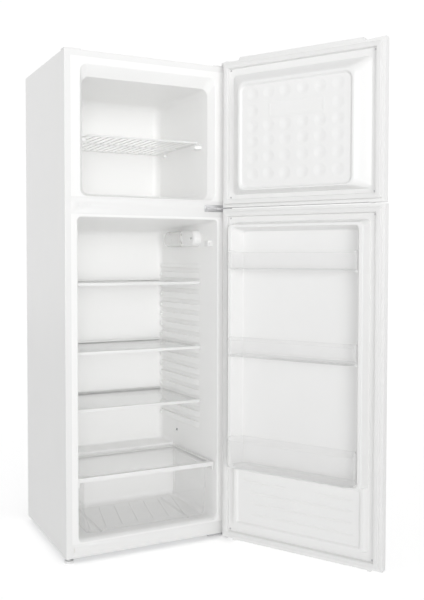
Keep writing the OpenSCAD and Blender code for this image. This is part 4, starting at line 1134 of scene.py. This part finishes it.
def fridge_relief(span):
    """Height over the flange of the fridge door's dykes, recess and grooved lower box."""
    z0, z1 = span.z0 / MM, span.z1 / MM
    top = z0 + LOWER_TOP
    dyke_foot, dyke_crown = (230, top - 6, z1 - 43.5, 12), (226, top + 1, z1 - 54, 13)
    hollow_rim, hollow_floor = (214.5, top + 4, z1 - 61.5, 13), (195, top + 8, z1 - 73.5, 10)
    box_foot, box_crown = (234.5, LOWER_Z0 - 2, top + 4, 12), (222, LOWER_Z0, top, 12)
    dish_rim = (213, LOWER_Z0 + 9, top - 8, 7)
    dish_floor = (206, LOWER_Z0 + 15, top - 14, 5)

    def groove(x, z, x0, x1, above):
        off = abs(z - z0 - above - 1.5) / GROOVE_HALF
        past = min(x - x0, x1 - x) + GROOVE_END
        if off >= 1 or past <= 0:
            return 0
        return GROOVE_DEEP * (1 - off * off) ** 1.5 * ease(past / 12)

    def height(x, z):
        hollow = ramp(x, z, hollow_rim, hollow_floor, 0.35)
        dyke = DYKE_OUT * ramp(x, z, dyke_foot, dyke_crown) * (1 - hollow) + HOLLOW_OUT * hollow
        dish = ramp(x, z, dish_rim, dish_floor, 0.6)
        box = LOWER_OUT * ramp(x, z, box_foot, box_crown) - LOWER_DISH_DEEP * dish
        if dish > 0.99:
            box -= sum(groove(x, z, *line) for line in GROOVES)
        p = max(dyke, box)
        if NOTCH_X[0] < abs(x) < NOTCH_X[1] and any(abs(z - n) < NOTCH_HALF for n in NOTCH_Z):
            p = min(p, NOTCH_OUT)
        return p

    return height


def gasket_mesh(span, name):
    """Bellows-shaped seal swept round the door."""
    profile = [(0.2, 0.05), (0, 1.2), (0.5, 4.2), (1.3, 5.4), (0.6, 6.6), (0.2, 8.2),
               (0.4, 11.4), (1.2, 12.3), (4.2, 12.45), (5, 12.1), (5.8, 12.45), (10.2, 12.45),
               (11, 12.1), (11.8, 12.45), (13.4, 12.3), (14.4, 11.2), (15, 8.2), (15.3, 6.6),
               (14.8, 5.4), (15.4, 4.2), (16, 1.2), (15.8, 0.05)]
    rings = []
    for inset, out in profile:
        i = (10 + inset) * MM
        rings.append(rounded_ring(HALF_W - i, span.z0 + i, span.z1 - i,
                                  max(5 - inset * 0.2, 1.5) * MM, out * MM - DOOR_GAP))
    bm = bmesh.new()
    rows = ring_faces(bm, rings)
    last, first = rows[-1], rows[0]
    n = len(first)
    for i in range(n):
        bm.faces.new((last[i], last[(i + 1) % n], first[(i + 1) % n], first[i]))
    return mesh_from(bm, name, span.matrix)


def screw_head(radius, rise):
    """Domed cross-slot screw head whose top faces +z."""
    bm = bmesh.new()
    profile = [(radius, 0), (radius, rise * 0.35), (radius * 0.82, rise * 0.75),
               (radius * 0.5, rise * 0.95), (0.0, rise)]
    count = 24
    turns = [2 * math.pi * k / count for k in range(count)]
    rings = [[Vector((r * math.cos(a), r * math.sin(a), z)) for a in turns]
             for r, z in profile[:-1]]
    rows = ring_faces(bm, rings)
    bm.faces.new(rows[0])
    tip = bm.verts.new((0, 0, profile[-1][1]))
    last = rows[-1]
    for k in range(count):
        bm.faces.new((last[k], last[(k + 1) % count], tip))
    head = mesh_from(bm, "screw_head")
    bm = bmesh.new()
    arm, slot = radius * 0.6, radius * 0.13
    box_mesh(bm, (-arm, -slot, rise * 0.3), (arm, slot, rise * 2))
    box_mesh(bm, (-slot, -arm, rise * 0.31), (slot, arm, rise * 2.1))
    return carve(head, [mesh_from(bm, "cutter")], use_self=True)


def door_screws(span, name, body):
    """Four liner screws at the door's corners, in two rows of copies."""
    made = []
    for x in (-HALF_W + SCREW_INSET, HALF_W - SCREW_INSET):
        head = screw_head(3 * MM, 1.2 * MM)
        head.data.transform(Matrix.Translation((x, -DOOR_GAP, span.z0 + SCREW_INSET))
                            @ Matrix.Rotation(-math.pi / 2, 4, "X"))
        made.append(copy_row("screws", head, 2, (0, 0, 0),
                             (0, 0, span.z1 - span.z0 - 2 * SCREW_INSET), "zinc_plate"))
    screws = join(made, name)
    screws.data.transform(span.matrix)
    finish_piece(screws, body, body + "_screws", "zinc_plate")


def dress_door(span):
    """What both doors share: skin, caps, foam, seal and screws."""
    body = span.body
    softened(body + "_skin", "white_enamel", 0, body)
    softened(body + "_caps", "white_moulding", 1.6 * MM, body, 3)
    seal_piece = gasket_mesh(span, body + "_gasket_finish")
    finish_piece(seal_piece, body, body + "_gasket", "seal_vinyl", 50)
    door_screws(span, body + "_screws_finish", body)
    paint(frame["nodes"][body + "_foam"], "wall_foam")


class FRIDGE_OT_freezer_door(bpy.types.Operator):
    """Moulds the freezer door with its ridge, dish and dimples"""
    bl_idname = "fridge.freezer_door"
    bl_label = "Freezer door"

    def execute(self, context):
        detail = context.scene.fridge_detail
        span = DoorSpan("freezer_door", "freezer_door_hinge")
        z0, z1 = span.z0 / MM, span.z1 / MM
        xs = spaced(-265, 265, 3, mirror_spans([(226, 237, 1), (180, 198, 1.8)]))
        zs = spaced(z0 + 10, z1 - 10, 3, [(z0 + 37, z0 + 60, 1.2), (z1 - 52, z1 - 44, 1.2),
                                          (z1 - 96, z1 - 78, 1.8)])
        panel = relief("freezer_door_liner_finish", xs, zs,
                       freezer_relief(span, detail.dimple_depth, detail.dimple_radius),
                       span.matrix)
        finish_piece(panel, "freezer_door", "freezer_door_liner", "white_moulding", 60)
        dress_door(span)
        return {"FINISHED"}


class FRIDGE_OT_fridge_door(bpy.types.Operator):
    """Moulds the fridge door with its dykes, bin lugs and grooved lower box"""
    bl_idname = "fridge.fridge_door"
    bl_label = "Fridge door"

    def execute(self, context):
        span = DoorSpan("fridge_door", "fridge_door_hinge")
        z0, z1 = span.z0 / MM, span.z1 / MM
        top = z0 + LOWER_TOP
        xs = spaced(-265, 265, 4, mirror_spans([(218, 237, 0.9), (192, 216, 1.5)]))
        fine = [(LOWER_Z0 - 4, LOWER_Z0 + 17, 0.8), (top - 15, top + 14, 1),
                (z1 - 78, z1 - 58, 1.6), (z1 - 56, z1 - 41, 0.9)]
        fine += [(z0 + above - 6, z0 + above + 9, 1.2) for _, _, above in GROOVES[1:]]
        fine += [(notch - 6, notch + 6, 1) for notch in NOTCH_Z]
        zs = spaced(z0 + 10, z1 - 10, 4, fine)
        panel = relief("fridge_door_liner_finish", xs, zs, fridge_relief(span), span.matrix)
        lugs = []
        for side in (-1, 1):
            for node in BINS:
                z = low(node).z
                a, b = sorted((side * 202 * MM, side * BIN_HALF))
                lug = rounded_box("lug", (a, 36 * MM - DOOR_GAP, z - 7 * MM),
                                  (b, 44 * MM - DOOR_GAP, z - 0.05 * MM), 1.2 * MM)
                lug.data.transform(span.matrix)
                lugs.append(lug)
        panel = join([panel] + lugs, "fridge_door_liner_finish")
        finish_piece(panel, "fridge_door", "fridge_door_liner", "white_moulding", 60)
        dress_door(span)
        return {"FINISHED"}


def bin_ring(inset, heights):
    """Outline of a door bin seen from above, each point at its own height."""
    half, root, deep = BIN_HALF - inset, 193 * MM - inset, DYKE_OUT * MM
    flat = BIN_OUT - BIN_CORNER
    right = [(root, 4 * MM + inset), (root + (half - root) * 0.5, (4 * MM + deep) / 2),
             (half, deep), (half, deep + 3 * MM), (half, flat - 3 * MM)]
    for k in range(9):
        a = math.radians(11.25 * k)
        right.append((BIN_HALF - BIN_CORNER + (BIN_CORNER - inset) * math.cos(a),
                      flat + (BIN_CORNER - inset) * math.sin(a)))
    points = right + [(-x, p) for x, p in reversed(right)]
    return [Vector((x, p - DOOR_GAP, heights(x, p))) for x, p in points]


class FRIDGE_OT_door_bins(bpy.types.Operator):
    """Moulds the three clear bins of the fridge door"""
    bl_idname = "fridge.door_bins"
    bl_label = "Door bins"

    def execute(self, context):
        matrix = swing("fridge_door_hinge")
        for node, tall in BINS.items():
            base = low(node).z

            def level(z):
                return lambda x, p: base + z * MM

            def rim(drop):
                def at(x, p):
                    end = 6 * MM if abs(x) > 205 * MM and 47 * MM < p < 66 * MM else 0
                    return base + tall * MM + end - drop * MM
                return at

            rings = [bin_ring(2.2 * MM, level(0)), bin_ring(0.7 * MM, level(0.6)),
                     bin_ring(0, level(2.4)), bin_ring(0, rim(1.2)), bin_ring(0.5 * MM, rim(0.2)),
                     bin_ring(1.1 * MM, rim(0)), bin_ring(1.7 * MM, rim(0.2)),
                     bin_ring(2.2 * MM, rim(1.2)), bin_ring(2.2 * MM, level(4)),
                     bin_ring(3.4 * MM, level(2.6)), bin_ring(5 * MM, level(2.2))]
            tray = capped(node + "_finish", rings, matrix=matrix)
            finish_piece(tray, node, node, "clear_moulding")
        return {"FINISHED"}


class FRIDGE_OT_hinges(bpy.types.Operator):
    """Rounds the hinge brackets and sets their screws"""
    bl_idname = "fridge.hinges"
    bl_label = "Hinges"

    def execute(self, context):
        soften_all("cabinet", ("top_hinge", "white_enamel", 0.6),
                   ("middle_hinge", "zinc_plate", 0.6), ("bottom_hinge", "zinc_plate", 0.6),
                   ("hinge_screws", "zinc_plate", 0.4))
        return {"FINISHED"}


class FRIDGE_OT_machinery(bpy.types.Operator):
    """Finishes the cooling parts at the back, the feet and the rollers"""
    bl_idname = "fridge.machinery"
    bl_label = "Cooling parts and feet"

    def execute(self, context):
        soften_all("cabinet", ("compressor", "black_paint", 0),
                   ("compressor_mounts", "black_rubber", 1.2),
                   ("compressor_bolts", "zinc_plate", 0.4), ("relay_box", "grey_moulding", 2),
                   ("refrigerant_pipes", "copper_tube", 0), ("drain_tube", "grey_moulding", 0),
                   ("evaporation_tray", "grey_moulding", 0.8),
                   ("cord_gland", "black_rubber", 0.8), ("evaporator_coil", "drawn_aluminium", 0),
                   ("condenser_coils", "copper_tube", 0))
        for node in ("front_foot_left", "front_foot_right"):
            softened(node, "wire_coating", 0.8 * MM, node)
        for node in ("rear_roller_left", "rear_roller_right"):
            softened(node, "grey_moulding", 1.2 * MM, node)
        return {"FINISHED"}


# ---- Stage ----

CAMERA_AT = (-0.9565, -2.2980, 0.9320)
CAMERA_TURNS = ((-27.003, "Z"), (90 - 2.006, "X"), (0.103, "Z"))  # to the right, down, rolled
CAMERA_SHIFT = (0.0004, -0.0272)
KEY_SUN = (30, (0.2, 0.98, 0.0))  # width in degrees, and the way it shines
SIDE_SUN = (40, (0.93, 0.35, -0.1))
CLEAR_BOUNCES = 40  # a ray passes shelves, cover and drawer, each with two or more clear faces
WHITE_BOUNCES = 8  # light reaches the compartments' backs from wall to wall
SKY_WHITE = 1.02
FLOOR_SIZE = 9
FLOOR_Z = -0.2 * MM
FLOOR_WHITE = 0.42  # glow that brings the lit floor up to white where the camera sees it
FLOOR_LIFT = 0.16  # glow that it gives the object from below


class FRIDGE_OT_stage(bpy.types.Operator):
    """Sets the camera, the floor, the surrounding light and the lamps"""
    bl_idname = "fridge.stage"
    bl_label = "Stage"

    def execute(self, context):
        settings = context.scene.fridge_stage
        scene = context.scene
        scene.view_settings.view_transform = "Standard"
        scene.view_settings.look = "None"
        lens = bpy.data.cameras.new("camera")
        lens.lens = settings.lens
        lens.sensor_width = 36
        lens.shift_x, lens.shift_y = CAMERA_SHIFT
        lens.dof.use_dof = False
        camera = bpy.data.objects.new("camera", lens)
        scene.collection.objects.link(camera)
        turn = Matrix.Identity(4)
        for degrees, axis in CAMERA_TURNS:
            turn = turn @ Matrix.Rotation(math.radians(degrees), 4, axis)
        camera.matrix_world = Matrix.Translation(CAMERA_AT) @ turn
        scene.camera = camera
        self.sky(scene, settings.sky_power)
        self.floor()
        self.sun("key", settings.sun_power, *KEY_SUN)
        self.sun("side", settings.side_power, *SIDE_SUN)
        scene.cycles.transparent_max_bounces = CLEAR_BOUNCES
        scene.cycles.diffuse_bounces = WHITE_BOUNCES
        return {"FINISHED"}

    def sun(self, name, power, width, towards):
        """Distant lamp of a width in degrees that shines along a direction."""
        lamp = bpy.data.lights.new(name, "SUN")
        lamp.energy = power
        lamp.angle = math.radians(width)
        sun = bpy.data.objects.new(name, lamp)
        bpy.context.scene.collection.objects.link(sun)
        sun.rotation_euler = Vector(towards).to_track_quat("-Z", "Y").to_euler()

    def sky(self, scene, power):
        """Even light all round, plain white where the camera, gloss or glass sees it."""
        world = bpy.data.worlds.new("surroundings")
        scene.world = world
        world.use_nodes = True
        nodes, links = world.node_tree.nodes, world.node_tree.links
        nodes.clear()
        out = nodes.new("ShaderNodeOutputWorld")
        mix = nodes.new("ShaderNodeMixShader")
        for slot, strength in ((1, power), (2, SKY_WHITE)):
            light = nodes.new("ShaderNodeBackground")
            light.inputs["Color"].default_value = (1, 1, 1, 1)
            light.inputs["Strength"].default_value = strength
            links.new(light.outputs["Background"], mix.inputs[slot])
        ray = nodes.new("ShaderNodeLightPath")
        seen = ray.outputs["Is Camera Ray"]
        for kind in ("Is Transmission Ray", "Is Glossy Ray"):
            most = nodes.new("ShaderNodeMath")
            most.operation = "MAXIMUM"
            links.new(seen, most.inputs[0])
            links.new(ray.outputs[kind], most.inputs[1])
            seen = most.outputs["Value"]
        links.new(seen, mix.inputs["Fac"])
        links.new(mix.outputs["Shader"], out.inputs["Surface"])

    def floor(self):
        """Pale floor that shows as white, apart from the shadow on it."""
        bm = bmesh.new()
        bmesh.ops.create_grid(bm, x_segments=1, y_segments=1, size=FLOOR_SIZE)
        floor = mesh_from(bm, "floor")
        floor.data.transform(Matrix.Translation((0, 0, FLOOR_Z)))
        material, nodes, links, shader = new_material("pale_floor")
        shader.inputs["Base Color"].default_value = (0.9, 0.9, 0.9, 1)
        shader.inputs["Roughness"].default_value = 0.8
        ray = nodes.new("ShaderNodeLightPath")
        pick = nodes.new("ShaderNodeMixShader")
        add = nodes.new("ShaderNodeAddShader")
        links.new(ray.outputs["Is Camera Ray"], pick.inputs["Fac"])
        for slot, strength in ((1, FLOOR_LIFT), (2, FLOOR_WHITE)):
            glow = nodes.new("ShaderNodeEmission")
            glow.inputs["Strength"].default_value = strength
            links.new(glow.outputs["Emission"], pick.inputs[slot])
        links.new(shader.outputs["BSDF"], add.inputs[0])
        links.new(pick.outputs["Shader"], add.inputs[1])
        links.new(add.outputs["Shader"], nodes["Material Output"].inputs["Surface"])
        floor.data.materials.append(material)


class FRIDGE_PT_panel(bpy.types.Panel):
    """Settings and steps of the refrigerator"""
    bl_label = "Refrigerator"
    bl_idname = "FRIDGE_PT_panel"
    bl_space_type = "VIEW_3D"
    bl_region_type = "UI"
    bl_category = "Refrigerator"

    def draw(self, context):
        scene = context.scene
        for group in (scene.fridge_finish, scene.fridge_detail, scene.fridge_stage):
            box = self.layout.box()
            for key in group.bl_rna.properties.keys():
                if key not in ("rna_type", "name"):
                    box.prop(group, key)
        for operator in STEPS:
            self.layout.operator(operator.bl_idname)


STEPS = (FRIDGE_OT_stage, FRIDGE_OT_cabinet_shell, FRIDGE_OT_freezer_lining,
         FRIDGE_OT_fridge_lining, FRIDGE_OT_lamp, FRIDGE_OT_wire_shelf, FRIDGE_OT_glass_shelves,
         FRIDGE_OT_crisper, FRIDGE_OT_freezer_door, FRIDGE_OT_fridge_door, FRIDGE_OT_door_bins,
         FRIDGE_OT_hinges, FRIDGE_OT_machinery)
GROUPS = (FridgeFinish, FridgeDetail, FridgeStage)


def register():
    """Makes the settings, the steps and the panel known."""
    for cls in GROUPS + STEPS + (FRIDGE_PT_panel,):
        bpy.utils.register_class(cls)
    bpy.types.Scene.fridge_finish = bpy.props.PointerProperty(type=FridgeFinish)
    bpy.types.Scene.fridge_detail = bpy.props.PointerProperty(type=FridgeDetail)
    bpy.types.Scene.fridge_stage = bpy.props.PointerProperty(type=FridgeStage)


def unregister():
    """Takes away what register() made."""
    del bpy.types.Scene.fridge_stage
    del bpy.types.Scene.fridge_detail
    del bpy.types.Scene.fridge_finish
    for cls in reversed(GROUPS + STEPS + (FRIDGE_PT_panel,)):
        bpy.utils.unregister_class(cls)


def main():
    """Registers the add-on and runs its steps in order."""
    register()
    for operator in STEPS:
        group, name = operator.bl_idname.split(".")
        getattr(getattr(bpy.ops, group), name)()


if __name__ == "__main__":
    main()
